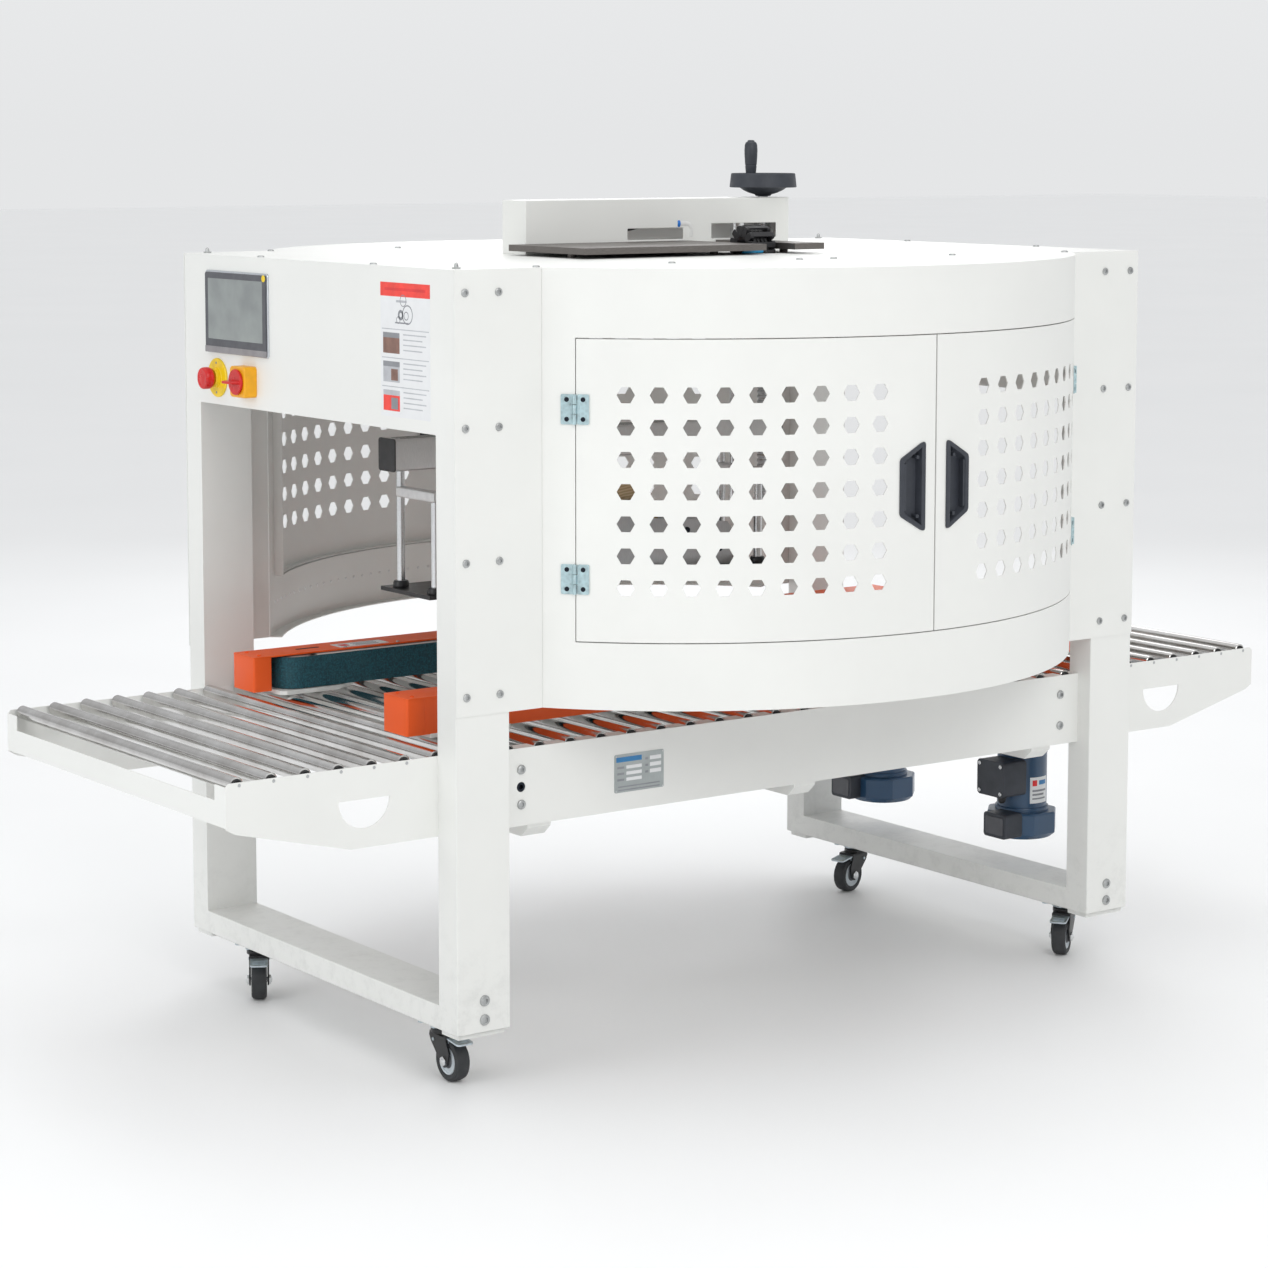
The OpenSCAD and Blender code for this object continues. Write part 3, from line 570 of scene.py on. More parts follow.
def keep(node, mat, bevel=0.0):
    """Keeps a CAD node and gives it a better material, with softened edges where they show."""
    obj = NODES[node]
    if not obj.data.materials:
        obj.data.materials.append(M[mat])
    for slot in obj.material_slots:
        slot.material = M[mat]
    if bevel:
        weld = obj.modifiers.new("weld", "WELD")
        weld.merge_threshold = 0.00002
        edge = obj.modifiers.new("edges", "BEVEL")
        edge.width = bevel * MM
        edge.segments = 2
        edge.limit_method = "ANGLE"
        edge.angle_limit = math.radians(50)
        edge.use_clamp_overlap = True
    return obj


# ---------------------------------------------------------------- sizes, in millimetres

LEG_Z = box_mm("outfeed_portal")[0].z
CAB_X, LEG_OUT, _ = box_mm("outfeed_portal")[1]
ROOF_Z = box_mm("roof_panel")[1].z
ARC_HALF_X = 623
BULGE = -box_mm("front_guard")[0].y
ARC_R = ((BULGE - LEG_OUT) ** 2 + ARC_HALF_X ** 2) / (2 * (BULGE - LEG_OUT))
ARC_CY = BULGE - ARC_R
JOINTS = {joint["name"]: joint for joint in frame["joints"]}
SIDES = (("front", -1), ("rear", 1))
ENDS = (("infeed", -1), ("outfeed", 1))


def joint_place(name):
    """A joint's place in millimetres."""
    return Vector(JOINTS[name]["pos_m"]) / MM


def on_arc(angle, z=0.0):
    """Carries a shape drawn at the front, radius along -Y, to an angle on the front guard."""
    return (Matrix.Translation((0, -ARC_CY * MM, z * MM))
            @ Matrix.Rotation(math.radians(angle), 4, "Z"))


def flips(sx, sy):
    """The mirror axes that carry a front outfeed piece to another corner."""
    return ("x" if sx < 0 else "") + ("y" if sy > 0 else "")


def aim(at, direction):
    """Carries a shape drawn up +Z from the origin to a place and direction."""
    turn = Vector(direction).to_track_quat("Z", "Y").to_matrix().to_4x4()
    return Matrix.Translation(Vector(at) * MM) @ turn


def screw(piece, at, direction, r, h, mat="zinc"):
    """A pan head with a washer face and a hexagon socket."""
    piece.lathe([(0, h * 0.3), (r * 0.45, h * 0.3, 6), (r * 0.45, h, 6), (r * 0.72, h),
                 (r * 0.93, h * 0.72), (r, h * 0.3), (r, 0), (0, 0)],
                mat, segments=24, place=aim(at, direction))


# ---------------------------------------------------------------- cabinet

def keep_cabinet():
    """The sheet metal and shafts whose CAD shape is right."""
    soft_edges = {"infeed_portal": 2.0, "outfeed_portal": 2.0, "mast_cover": 1.2, "infeed_wing": 0,
                  "outfeed_wing": 0, "bed_frame": 0, "front_guard": 0, "rear_guard": 0, "roof_panel": 0,
                  "door_front_infeed": 0, "door_front_outfeed": 0, "door_rear_infeed": 0,
                  "door_rear_outfeed": 0}
    for name, width in soft_edges.items():
        keep(name, "white", width)
    keep("bridge_plate", "dark_plate", 0.8)
    keep("guide_columns", "bright", 0.8)


def make_frame_screws():
    """One domed socket screw for each solid in the CAD group."""
    p = Piece("frame_screws")
    for low, high, mid in solids("frame_bolts"):
        size = high - low
        axis = min(range(3), key=lambda i: size[i])
        direction = [0, 0, 0]
        direction[axis] = 1 if axis == 2 or mid[axis] > 0 else -1
        at = mid.copy()
        at[axis] = low[axis] if direction[axis] > 0 else high[axis]
        screw(p, at, direction, max(size) * 0.66, size[axis], "bolt_zinc")
    p.finish(ROOT, ["frame_bolts"], bevel=0)


def make_rivets():
    """The lifting pins on the roof and the row of blind rivets inside each guard's lower strip."""
    pins = Piece("roof_pins")
    for x, y in ((-770, 440), (-770, -440), (756, 462)):
        pins.lathe([(0, 0), (7, 0), (7, 2.5, 6), (4, 3), (3, 9), (0, 11)], "bolt_zinc", (x, y, ROOF_Z),
                   segments=24)
    pins.finish(ROOT, bevel=0)
    for side, sy in SIDES:
        p = Piece("guard_rivets_" + side)
        z = box_mm("front_guard")[0].z + 62
        for k in range(-24, 25):
            place = on_arc(2.05 * k, z) @ Matrix.Translation((0, (-ARC_R + 2) * MM, 0))
            p.lathe([(0, 0), (3.2, 0), (2.9, 0.8), (1.6, 1.5), (0, 1.7)], "rivet", axis="y",
                    segments=12, place=place)
        p.finish(ROOT, mirror=flips(1, sy), bevel=0)


# ---------------------------------------------------------------- door hardware

HANDLE_HALF = 28
HANDLE_Z = 1043
HANDLE_ANGLE = 3.86
HINGE_HEIGHT = 52
KNUCKLE_R = 3.5
LEAF_SCREW_X = 14.5
LEAF_SCREW_Z = 17


def handle_outline(grow, depth, corner):
    """The pull's trapezoid at a depth behind the door's face."""
    half = HANDLE_HALF + grow
    points = [(-half, HANDLE_Z - 78 - grow), (8 - HANDLE_HALF, HANDLE_Z - 78 - grow),
              (half, HANDLE_Z - 50 - grow / 2), (half, HANDLE_Z + 50 + grow / 2),
              (8 - HANDLE_HALF, HANDLE_Z + 78 + grow), (-half, HANDLE_Z + 78 + grow)]
    return [(x, depth - ARC_R, z) for x, z in round_corners(points, corner)]


def make_handle(side, sy, end, sx):
    """The recessed pull: flange, dished pocket and finger lip."""
    p = Piece(f"handle_{side}_{end}")
    place = on_arc(HANDLE_ANGLE)
    steps = [(-5.5, 14, 5), (-5.5, -0.1, 5), (0, -0.1, 6), (0, -1.6, 6), (-1.4, -3, 6), (-7.5, -3, 5),
             (-9, -2.2, 5), (-10, 1, 5), (-13.5, 11, 4)]
    p.loft([handle_outline(grow, depth, corner) for grow, depth, corner in steps], "charcoal", place)
    lip = [(HANDLE_HALF - 14, 42), (HANDLE_HALF - 9.5, 40), (HANDLE_HALF - 9.5, -40),
           (HANDLE_HALF - 14, -42)]
    p.prism([(x, z + HANDLE_Z) for x, z in lip], -ARC_R - 1.2, -ARC_R + 8, "charcoal", "y", place)
    for z in (-1, 1):
        p.rounded_box((-13, -ARC_R - 2.2, HANDLE_Z + z * 52 - 3), (-7, -ARC_R + 10, HANDLE_Z + z * 52 + 3),
                      1.5, "charcoal", "y", place)
    p.finish(f"door_{side}_{end}", [f"door_hardware_{side}_{end}"],
             mirror=flips(sx, sy), bevel=0.5)


def hinge_leaf(p, place, toward, knuckles):
    """One leaf at the knuckle's axis: plate, rolled knuckles and two dark screws."""
    half = HINGE_HEIGHT / 2
    x0, x1 = sorted((toward * 4.2, toward * 25))
    p.rounded_box((x0, 1.4, -half), (x1, 3.5, half), 2.5, "hinge_zinc", "y", place)
    for z0, z1 in knuckles:
        p.lathe([(0, z0), (KNUCKLE_R - 0.4, z0), (KNUCKLE_R, z0 + 0.4), (KNUCKLE_R, z1 - 0.4),
                 (KNUCKLE_R - 0.4, z1), (0, z1)], "hinge_zinc", segments=24, place=place)
        a, b = sorted((0, toward * 5))
        p.box((a, 1.4, z0), (b, 3.5, z1), "hinge_zinc", place)
    rib = toward * 7.5
    p.rounded_box((rib - 1, 0.9, -half + 3), (rib + 1, 1.6, half - 3), 0.9, "hinge_zinc", "y", place)
    for z in (-LEAF_SCREW_Z, LEAF_SCREW_Z):
        at = place @ (Vector((toward * LEAF_SCREW_X, 1.4, z)) * MM)
        out = place.to_3x3() @ Vector((0, -1, 0))
        screw(p, at / MM, out, 4.2, 1.6, "dark_screw")


def make_hinges(side, sy, end, sx):
    """The moving and fixed leaves of one door's two hinges."""
    third = HINGE_HEIGHT / 3
    axis = joint_place(f"door_{side}_{end}_hinge")
    angle = math.degrees(math.atan2(abs(axis.x), abs(axis.y) - ARC_CY))
    reach = math.hypot(abs(axis.x), abs(axis.y) - ARC_CY)
    moving = Piece(f"hinge_leaves_{side}_{end}")
    fixed = Piece(f"hinge_frame_leaves_{side}_{end}")
    zs = sorted({round(mid.z) for low, high, mid in solids("hinge_fixed_leaves") if high.z - low.z > third})
    for z in zs:
        place = on_arc(angle, z) @ Matrix.Translation((0, -reach * MM, 0))
        hinge_leaf(moving, place, -1, [(-third / 2 + 0.5, third / 2 - 0.5)])
        hinge_leaf(fixed, place, 1, [(-HINGE_HEIGHT / 2, -third / 2 - 0.5),
                                     (third / 2 + 0.5, HINGE_HEIGHT / 2)])
    moving.finish(f"door_{side}_{end}", mirror=flips(sx, sy), bevel=0.3)
    fixed.finish(ROOT, ["hinge_fixed_leaves"], mirror=flips(sx, sy), bevel=0.3)


# ---------------------------------------------------------------- rollers

def roller(p, low, high, stub):
    """A chrome tube with rolled ends, plastic bearing caps and a hexagonal axle."""
    mid = (low + high) / 2
    r = (high.z - low.z) / 2
    y0, y1 = low.y + stub, high.y - stub
    at = (mid.x, 0, mid.z)
    p.lathe([(r - 3.5, y0 + 1.6), (r - 1.2, y0 + 1.2), (r, y0 + 2.4), (r, y1 - 2.4), (r - 1.2, y1 - 1.2),
             (r - 3.5, y1 - 1.6)], "chrome", at, "y", 40)
    for out, y in ((-1, y0), (1, y1)):
        p.lathe([(0, -out * 3 + y), (r - 3, -out * 3 + y), (r - 3, y - out * 0.5), (r - 4, y), (6, y),
                 (6, y - out * 0.8), (0, y - out * 0.8)], "black", at, "y", 32)
    p.lathe([(0, low.y), (2.6, low.y, 6), (2.6, high.y, 6), (0, high.y)], "steel", at, "y", 24)


def make_rollers():
    for end, _sx in ENDS:
        for number in range(1, 7):
            node = f"{end}_roller_{number}"
            low, high, _mid = box_mm(node)
            p = Piece(node + "_tube")
            roller(p, low, high, 8)
            p.finish(node, [node], bevel=0)
    p = Piece("bed_roller_tubes")
    for low, high, _mid in solids("bed_rollers"):
        roller(p, low, high, 4)
    p.finish(ROOT, ["bed_rollers"], bevel=0)


# ---------------------------------------------------------------- side belts, drawn at the front

BELT_Y = 257
DRUM_X = 697.4
DRUM_R = 36
BELT_T = 6
COVER_LOW, COVER_HIGH = 607, 674
COVER_X = 795
COVER_OUT, COVER_IN = -BELT_Y - 56, -BELT_Y + 24
GUIDE_X = 643
GUIDE_Z = 522
RIB_PITCH = 5.2


def stadium(r, steps=24):
    """The outline of the belt loop in plan."""
    return (arc(DRUM_X, -BELT_Y, r, -90, 90, steps) + arc(-DRUM_X, -BELT_Y, r, 90, 270, steps))


def ribbed_stadium(r, rib):
    """The belt's outer outline with a small rounded rib at every pitch."""
    straight = 2 * DRUM_X
    around = math.pi * r
    total = 2 * (straight + around)
    count = int(total / RIB_PITCH)
    points = []
    for k in range(count):
        for share, lift in ((0.0, 0.0), (0.3, 0.9), (0.6, 0.9), (0.85, 0.0)):
            s = (k + share) * total / count
            reach = r + (lift - 1) * rib
            if s < straight:
                x, y = s - DRUM_X, -reach
            elif s < straight + around:
                t = (s - straight) / r - math.pi / 2
                x, y = DRUM_X + reach * math.cos(t), reach * math.sin(t)
            elif s < 2 * straight + around:
                x, y = DRUM_X - (s - straight - around), reach
            else:
                t = (s - 2 * straight - around) / r + math.pi / 2
                x, y = -DRUM_X + reach * math.cos(t), reach * math.sin(t)
            points.append((x, y - BELT_Y))
    return points


def make_belt(side, sy):
    """The rough-top belt: ribbed cover layer over a plain woven ply."""
    low, high, _mid = box_mm("drive_belt_" + side)
    p = Piece("rough_top_belt_" + side)
    outer = ribbed_stadium(DRUM_R + BELT_T, 0.6)
    p.ring(outer, stadium(DRUM_R + 2.2, 40), low.z + 0.3, high.z - 0.3, "belt")
    p.ring(stadium(DRUM_R + 2.6), stadium(DRUM_R), low.z, high.z, "belt_side")
    p.finish(f"belt_unit_{side}", ["drive_belt_" + side], mirror=flips(1, sy), bevel=0)


def make_belt_cover(side, sy):
    """The folded orange cover with its end blocks, screws and label; its slots are near-black patches of
    painted shade.
    """
    p = Piece("belt_cover_" + side)
    p.rounded_box((-COVER_X, COVER_OUT, COVER_HIGH - 3), (COVER_X, COVER_IN, COVER_HIGH), 3, "orange")
    p.box((-DRUM_X - 60, COVER_OUT + 0.3, COVER_LOW), (DRUM_X + 60, COVER_OUT + 3, COVER_HIGH - 2), "orange")
    for sx in (-1, 1):
        a, b = sorted((sx * (DRUM_X + 58), sx * COVER_X))
        p.rounded_box((a, COVER_OUT, COVER_LOW), (b, COVER_IN, COVER_HIGH - 1.5), 4, "orange")
        slot = sx * (DRUM_X - 42)
        # each slot is a near-black patch laid just over the cover's top: painted shade in place of an opening
        p.rounded_box((slot - 26, -BELT_Y - 22, COVER_HIGH - 1), (slot + 26, -BELT_Y - 12, COVER_HIGH + 0.15),
                      4.8, "painted_slot_shade")
        screw(p, (sx * (COVER_X - 20), -BELT_Y + 8, COVER_HIGH), (0, 0, 1), 4, 2.2, "orange")
        screw(p, (sx * (COVER_X - 20), -BELT_Y - 40, COVER_HIGH), (0, 0, 1), 4, 2.2, "orange")
    for k in range(-5, 6):
        screw(p, (k * 118, COVER_IN - 8, COVER_HIGH), (0, 0, 1), 3.6, 2, "bolt_zinc")
        screw(p, (k * 118, COVER_OUT, COVER_HIGH - 16), (0, -1, 0), 3.6, 2, "bolt_zinc")
    p.finish(f"belt_unit_{side}", ["belt_carrier_" + side], mirror=flips(1, sy), bevel=1.2)
    q = Piece("belt_cover_label_" + side)
    q.rounded_box((-600, -BELT_Y - 26, COVER_HIGH), (-490, -BELT_Y + 14, COVER_HIGH + 0.4), 2, "paper")
    q.rounded_box((-590, -BELT_Y - 16, COVER_HIGH + 0.4), (-572, -BELT_Y + 4, COVER_HIGH + 0.6), 2, "ink_red")
    for k in range(3):
        y = -BELT_Y - 18 + 10 * k
        q.box((-560, y, COVER_HIGH + 0.4), (-508, y + 4, COVER_HIGH + 0.6), "ink_grey")
    q.finish(f"belt_unit_{side}", mirror=flips(1, sy), bevel=0)


def make_belt_frame(side, sy):
    """Drums, slider bed, white end supports, slides and brackets under the cover."""
    low, high, _mid = box_mm("drive_belt_" + side)
    p = Piece("belt_frame_" + side)
    bed_x = DRUM_X - 40
    p.box((-bed_x, -BELT_Y - 20, low.z), (bed_x, -BELT_Y + DRUM_R - 0.5, low.z + 9), "white")
    p.box((-bed_x, -BELT_Y - 20, high.z - 9), (bed_x, -BELT_Y + DRUM_R - 0.5, high.z), "white")
    p.box((-bed_x, -BELT_Y + DRUM_R - 4, low.z + 1), (bed_x, -BELT_Y + DRUM_R - 0.8, high.z - 1), "alloy")
    p.box((-bed_x, -BELT_Y - 24, low.z), (bed_x, -BELT_Y - 20, high.z), "white")
    for sx in (-1, 1):
        at = (sx * DRUM_X, -BELT_Y, 0)
        p.lathe([(0, low.z), (DRUM_R - 2, low.z), (DRUM_R - 0.4, low.z + 1.5), (DRUM_R - 0.4, high.z - 1.5),
                 (DRUM_R - 2, high.z), (20, high.z), (20, high.z - 2), (9, high.z - 2), (0, high.z - 2)],
                "alloy", at)
        outline = [(sx * (DRUM_X + 50), COVER_OUT), (sx * (DRUM_X + 50), -BELT_Y + 38),
                   (sx * (DRUM_X + 40), -BELT_Y + 48), (sx * (DRUM_X - 70), -BELT_Y + 48),
                   (sx * (DRUM_X - 120), -BELT_Y + 20), (sx * (DRUM_X - 120), COVER_OUT)]
        p.prism(outline, low.z - 9, low.z - 1, "white")
        p.lathe([(0, 562), (8, 562), (8, COVER_LOW - 6), (0, COVER_LOW - 6)], "steel",
                (sx * DRUM_X, -BELT_Y - 47, 0))
        a, b = sorted((sx * 620, sx * (DRUM_X + 8)))
        p.box((a, -BELT_Y - 60, 550), (b, -BELT_Y - 34, 562), "steel")
        p.rounded_box((sx * GUIDE_X - 20, -BELT_Y - 60, 502), (sx * GUIDE_X + 20, -BELT_Y - 24, 550), 4,
                      "alloy", "y")
        p.lathe([(9, -BELT_Y - 64), (14, -BELT_Y - 64), (14, -BELT_Y - 60), (9, -BELT_Y - 60)], "steel",
                (sx * GUIDE_X, 0, GUIDE_Z), "y")
    p.finish(f"belt_unit_{side}", mirror=flips(1, sy), bevel=0.8)


# ---------------------------------------------------------------- gear motors, drawn at the front

MOTOR_X, MOTOR_Y = 750, -222


def make_motor(side, sy):
    """The upright motor: fan cover, finned body, gear head, terminal box and plate."""
    p = Piece("gear_motor_" + side)
    at = (MOTOR_X, MOTOR_Y, 0)
    p.lathe([(0, 217), (50, 217), (62, 220), (69, 230, 8), (69, 270, 8), (66, 273, 8), (52, 274), (0, 274)],
            "blue", at, segments=64)
    p.lathe([(0, 268), (51, 268), (51, 392), (51.8, 393), (51.8, 450), (50, 458), (0, 458)], "blue", at,
            segments=96)
    p.lathe([(48, 262), (54, 262), (55, 264), (55, 280), (54, 282), (48, 282)], "blue", at, segments=64)
    p.rounded_box((MOTOR_X - 60, MOTOR_Y - 60, 458), (MOTOR_X + 52, MOTOR_Y + 52, 499), 9, "blue")
    for dx, dy in ((-50, -50), (42, -50), (-50, 42), (42, 42)):
        p.rod(5, (MOTOR_X + dx, MOTOR_Y + dy, 450), 52, "bright")
    p.rounded_box((DRUM_X - 26, -BELT_Y - 26, 500), (MOTOR_X + 52, MOTOR_Y + 52, 545), 12, "alloy")
    p.rod(9, (DRUM_X, -BELT_Y, 545), 62, "bright")
    p.finish(f"belt_unit_{side}", ["drive_motor_" + side], mirror=flips(1, sy), bevel=0.8)
    make_motor_boxes(side, sy)


def make_motor_boxes(side, sy):
    """The terminal box with its lid screws and gland, and the small box on the fan cover."""
    p = Piece("terminal_box_" + side)
    x0, x1, y0, y1, z0, z1 = MOTOR_X - 104, MOTOR_X - 40, MOTOR_Y - 56, MOTOR_Y + 22, 314, 386
    p.rounded_box((x0 + 5, y0, z0), (x1, y1, z1), 8, "charcoal", "x")
    p.rounded_box((x0, y0 - 0.5, z0 - 0.5), (x0 + 5, y1 + 0.5, z1 + 0.5), 9, "charcoal", "x")
    for y in (y0 + 8, y1 - 8):
        for z in (z0 + 8, z1 - 8):
            screw(p, (x0, y, z), (-1, 0, 0), 4.4, 2.5, "bright")
    p.lathe([(0, 0), (10, 0, 6), (10, 8, 6), (8, 8), (8, 14), (5, 19), (0, 19)], "black", segments=24,
            place=aim((MOTOR_X - 72, MOTOR_Y - 18, z0), (0, 0, -1)))
    p.rounded_box((MOTOR_X - 96, MOTOR_Y - 56, 227), (MOTOR_X - 50, MOTOR_Y + 10, 277), 7, "charcoal", "x")
    p.rounded_box((MOTOR_X - 97.5, MOTOR_Y - 49, 234), (MOTOR_X - 96, MOTOR_Y + 3, 270), 4, "bezel", "x")
    p.finish(f"belt_unit_{side}", mirror=flips(1, sy), bevel=0.8)
    q = Piece("motor_plate_" + side)
    for r0, r1, a0, a1, z0, z1, mat in ((50.8, 51.4, 246, 300, 292, 346, "paper"),
                                        (51.4, 51.6, 252, 264, 328, 340, "ink_red"),
                                        (51.4, 51.6, 270, 294, 330, 339, "ink_blue"),
                                        (51.4, 51.6, 252, 294, 316, 320, "ink_grey"),
                                        (51.4, 51.6, 252, 286, 308, 312, "ink_grey"),
                                        (51.4, 51.6, 252, 292, 300, 303, "ink_grey")):
        outline = arc(MOTOR_X, MOTOR_Y, r1, a0, a1, 10) + arc(MOTOR_X, MOTOR_Y, r0, a1, a0, 10)
        q.prism(outline, z0, z1, mat)
    q.finish(f"belt_unit_{side}", mirror=flips(1, sy), bevel=0)


# ---------------------------------------------------------------- casters

FORK_SIDE = 19


def make_caster(side, end):
    """Plate, fork and wheel, placed and turned as the two joints say."""
    pivot = joint_place(f"caster_swivel_{side}_{end}")
    axle = joint_place(f"caster_wheel_spin_{side}_{end}")
    wheel_r = axle.z
    trail = math.hypot(axle.x - pivot.x, axle.y - pivot.y)
    turn = Matrix.Rotation(math.atan2(axle.y - pivot.y, axle.x - pivot.x), 4, "Z")
    place = Matrix.Translation((pivot.x * MM, pivot.y * MM, 0)) @ turn
    make_caster_plate(f"{side}_{end}", pivot, LEG_Z)
    make_fork(f"{side}_{end}", place, trail, wheel_r)
    make_wheel(f"{side}_{end}", place, trail, wheel_r)


def make_caster_plate(where, pivot, top):
    p = Piece("caster_plate_" + where)
    place = Matrix.Translation((pivot.x * MM, pivot.y * MM, 0))
    p.rounded_box((-42, -30, top - 4), (42, 30, top), 5, "gold_zinc", place=place)
    p.lathe([(7, top - 16), (22, top - 16), (26, top - 13), (26, top - 7), (30, top - 4), (7, top - 4)],
            "zinc", place=place)
    for dx in (-33, 33):
        for dy in (-21, 21):
            p.lathe([(0, top - 9), (6, top - 9, 6), (6.4, top - 8.5, 6), (6.4, top - 4, 6), (0, top - 4)],
                    "zinc", (dx, dy, 0), segments=24, place=place)
    sx, sy = math.copysign(1, pivot.x), math.copysign(1, pivot.y)
    xs = sorted((sx * (CAB_X - 103), sx * (CAB_X - 6)))
    ys = sorted((sy * (LEG_OUT - 61), sy * (LEG_OUT - 7)))
    p.rounded_box((xs[0], ys[0], top - 9), (xs[1], ys[1], top), 2, "white")
    p.finish(ROOT, ["caster_plates"], bevel=0.6)


def fork_plate(trail, wheel_r):
    """The teardrop side plate, wide at the crown and round at the axle, in X and Z."""
    lower = arc(trail, wheel_r, 11.5, 215, 335, 10)
    return lower + [(trail + 16, wheel_r + 16), (34, 74), (34, 84), (-18, 84), (-20, 76), (-15, 66)]


def make_fork(where, place, trail, wheel_r):
    p = Piece("caster_yoke_" + where)
    for sy in (-1, 1):
        y0, y1 = sorted((sy * (FORK_SIDE - 3), sy * FORK_SIDE))
        p.prism(fork_plate(trail, wheel_r), y0, y1, "black_coat", "y", place)
        p.lathe([(0, 0), (8, 0, 6), (8, 3.4, 6), (6.5, 4), (4.5, 5.6), (0, 6.2)], "bright", segments=36,
                place=place @ aim((trail, sy * FORK_SIDE, wheel_r), (0, sy, 0)))
        p.lathe([(0, 0), (3.2, 0), (3, 1.6), (0, 2)], "zinc", segments=16,
                place=place @ aim((-6, sy * FORK_SIDE, 70), (0, sy, 0)))
    p.rounded_box((-18, -FORK_SIDE, 80), (34, FORK_SIDE, 85), 6, "black_coat", place=place)
    p.lathe([(0, 83), (24, 83), (24, 90), (21, 91.6), (0, 91.6)], "black_coat", place=place)
    p.rod(4.9, (trail, -FORK_SIDE, wheel_r), 2 * FORK_SIDE, "bright", "y", place=place)
    pedal = place @ Matrix.Translation((0, 0, 86 * MM)) @ Matrix.Rotation(math.radians(8), 4, "Y")
    p.rounded_box((26, -17, -4), (72, 17, -0.5), 6, "zinc", place=pedal)
    for k in range(3):
        p.box((50 + 6 * k, -12, -0.6), (52.5 + 6 * k, 12, 0.5), "zinc", pedal)
    p.box((34, -14, -14), (38, 14, -3), "zinc", pedal)
    p.finish("caster_fork_" + where, ["caster_fork_" + where], bevel=0.7)


def make_wheel(where, place, trail, wheel_r):
    p = Piece("caster_tread_" + where)
    at = (trail, 0, wheel_r)
    r = wheel_r
    p.lathe([(27, -13.5), (r - 5, -14.5), (r - 1.5, -12), (r - 0.3, -7), (r, 0), (r - 0.3, 7), (r - 1.5, 12),
             (r - 5, 14.5), (27, 13.5), (26, 12), (26, -12), (27, -13.5)], "tyre", at, "y", 64, place)
    p.lathe([(5.1, -14.2), (12, -14.2), (14, -11), (20, -9.5), (26.4, -12), (26.4, 12), (20, 9.5), (14, 11),
             (12, 14.2), (5.1, 14.2), (5.1, -14.2)], "hub", at, "y", 64, place)
    for sy in (-1, 1):
        seal = [(20.5, sy * 10.5), (21, sy * 12.6), (24.5, sy * 12.9), (25.5, sy * 11.2)]
        p.lathe(seal, "hub_ring", at, "y", 48, place)
    p.finish("caster_wheel_" + where, ["caster_wheel_" + where], bevel=0)


# ---------------------------------------------------------------- controls on the infeed end

PANEL_LOW, PANEL_HIGH = (150, 1244), (388, 1400)
ESTOP_YZ = (348, 1197)
SWITCH_YZ = (228, 1197)
SWITCH_BASE = 26


def on_end(y, z):
    """Carries a shape drawn up +Z to the infeed face, pointing out along -X, +X of it upward."""
    turn = Matrix(((0, 0, -1, 0), (0, 1, 0, 0), (1, 0, 0, 0), (0, 0, 0, 1)))
    return Matrix.Translation((-CAB_X * MM, y * MM, z * MM)) @ turn


def make_panel():
    """The touch panel: alloy rim, charcoal bezel and the recessed screen."""
    p = Piece("touch_panel")
    (y0, z0), (y1, z1) = PANEL_LOW, PANEL_HIGH
    mid_y, mid_z = (y0 + y1) / 2, (z0 + z1) / 2
    half_y, half_z = (y1 - y0) / 2, (z1 - z0) / 2
    place = on_end(mid_y, mid_z)

    def outline(inset, depth, corner, drop=0.0):
        points = rounded(-half_z + inset + drop, -half_y + inset, half_z - inset, half_y - inset, corner)
        return [(a, b, depth) for a, b in points]

    rim = [outline(0, 0, 6), outline(0, 2.6, 6), outline(0.8, 3.4, 6), outline(4, 3.6, 5)]
    p.loft(rim, "panel_rim", place)
    p.loft([outline(3.5, 3, 4), outline(3.5, 5.6, 4), outline(4.5, 6.6, 4), outline(14.5, 6.6, 1.5, 12),
            outline(15, 6.0, 1.5, 12)], "bezel", place)
    p.loft([outline(14.6, 5.9, 1.4, 12.1), outline(14.6, 6.25, 1.4, 12.1)], "screen", place)
    p.rounded_box((-half_z + 1, -half_y + 3, 3), (-half_z + 13, half_y - 3, 7), 1.5, "band", place=place)
    p.lathe([(0, 0), (6.5, 0), (6.5, 0.4), (0, 0.5)], "yellow", (half_z - 9, -half_y + 9, 6.6), place=place)
    p.finish(ROOT, ["control_panel"], bevel=0.3)


def make_estop():
    """The yellow plate and stepped collar, and the red mushroom head on its own body."""
    p = Piece("estop_collar")
    place = on_end(*ESTOP_YZ)
    p.lathe([(9, 0), (36.5, 0), (37, 0.6), (37, 2.6), (35, 4), (21, 4), (20, 5), (20, 9), (17.5, 10),
             (17, 13.5), (9, 14)], "yellow", place=place, segments=64)
    for k in (0, 1):
        p.lathe([(0, 4), (2.4, 4), (2.2, 4.6), (0, 4.8)], "ink_grey", (28 * (1 - 2 * k), 0, 0), place=place,
                segments=20)
    p.finish(ROOT, bevel=0)
    q = Piece("estop_mushroom")
    q.lathe([(0, 7), (8, 7), (8, 17), (15, 17.5), (19.5, 18.5), (20.4, 20), (20.8, 24), (20.6, 32),
             (19.5, 34.2), (17, 35), (15.5, 35), (14, 34.4), (8, 35.3), (0, 35.8)], "red", place=place,
            segments=64)
    q.finish("estop_button", ["estop_button"], bevel=0)


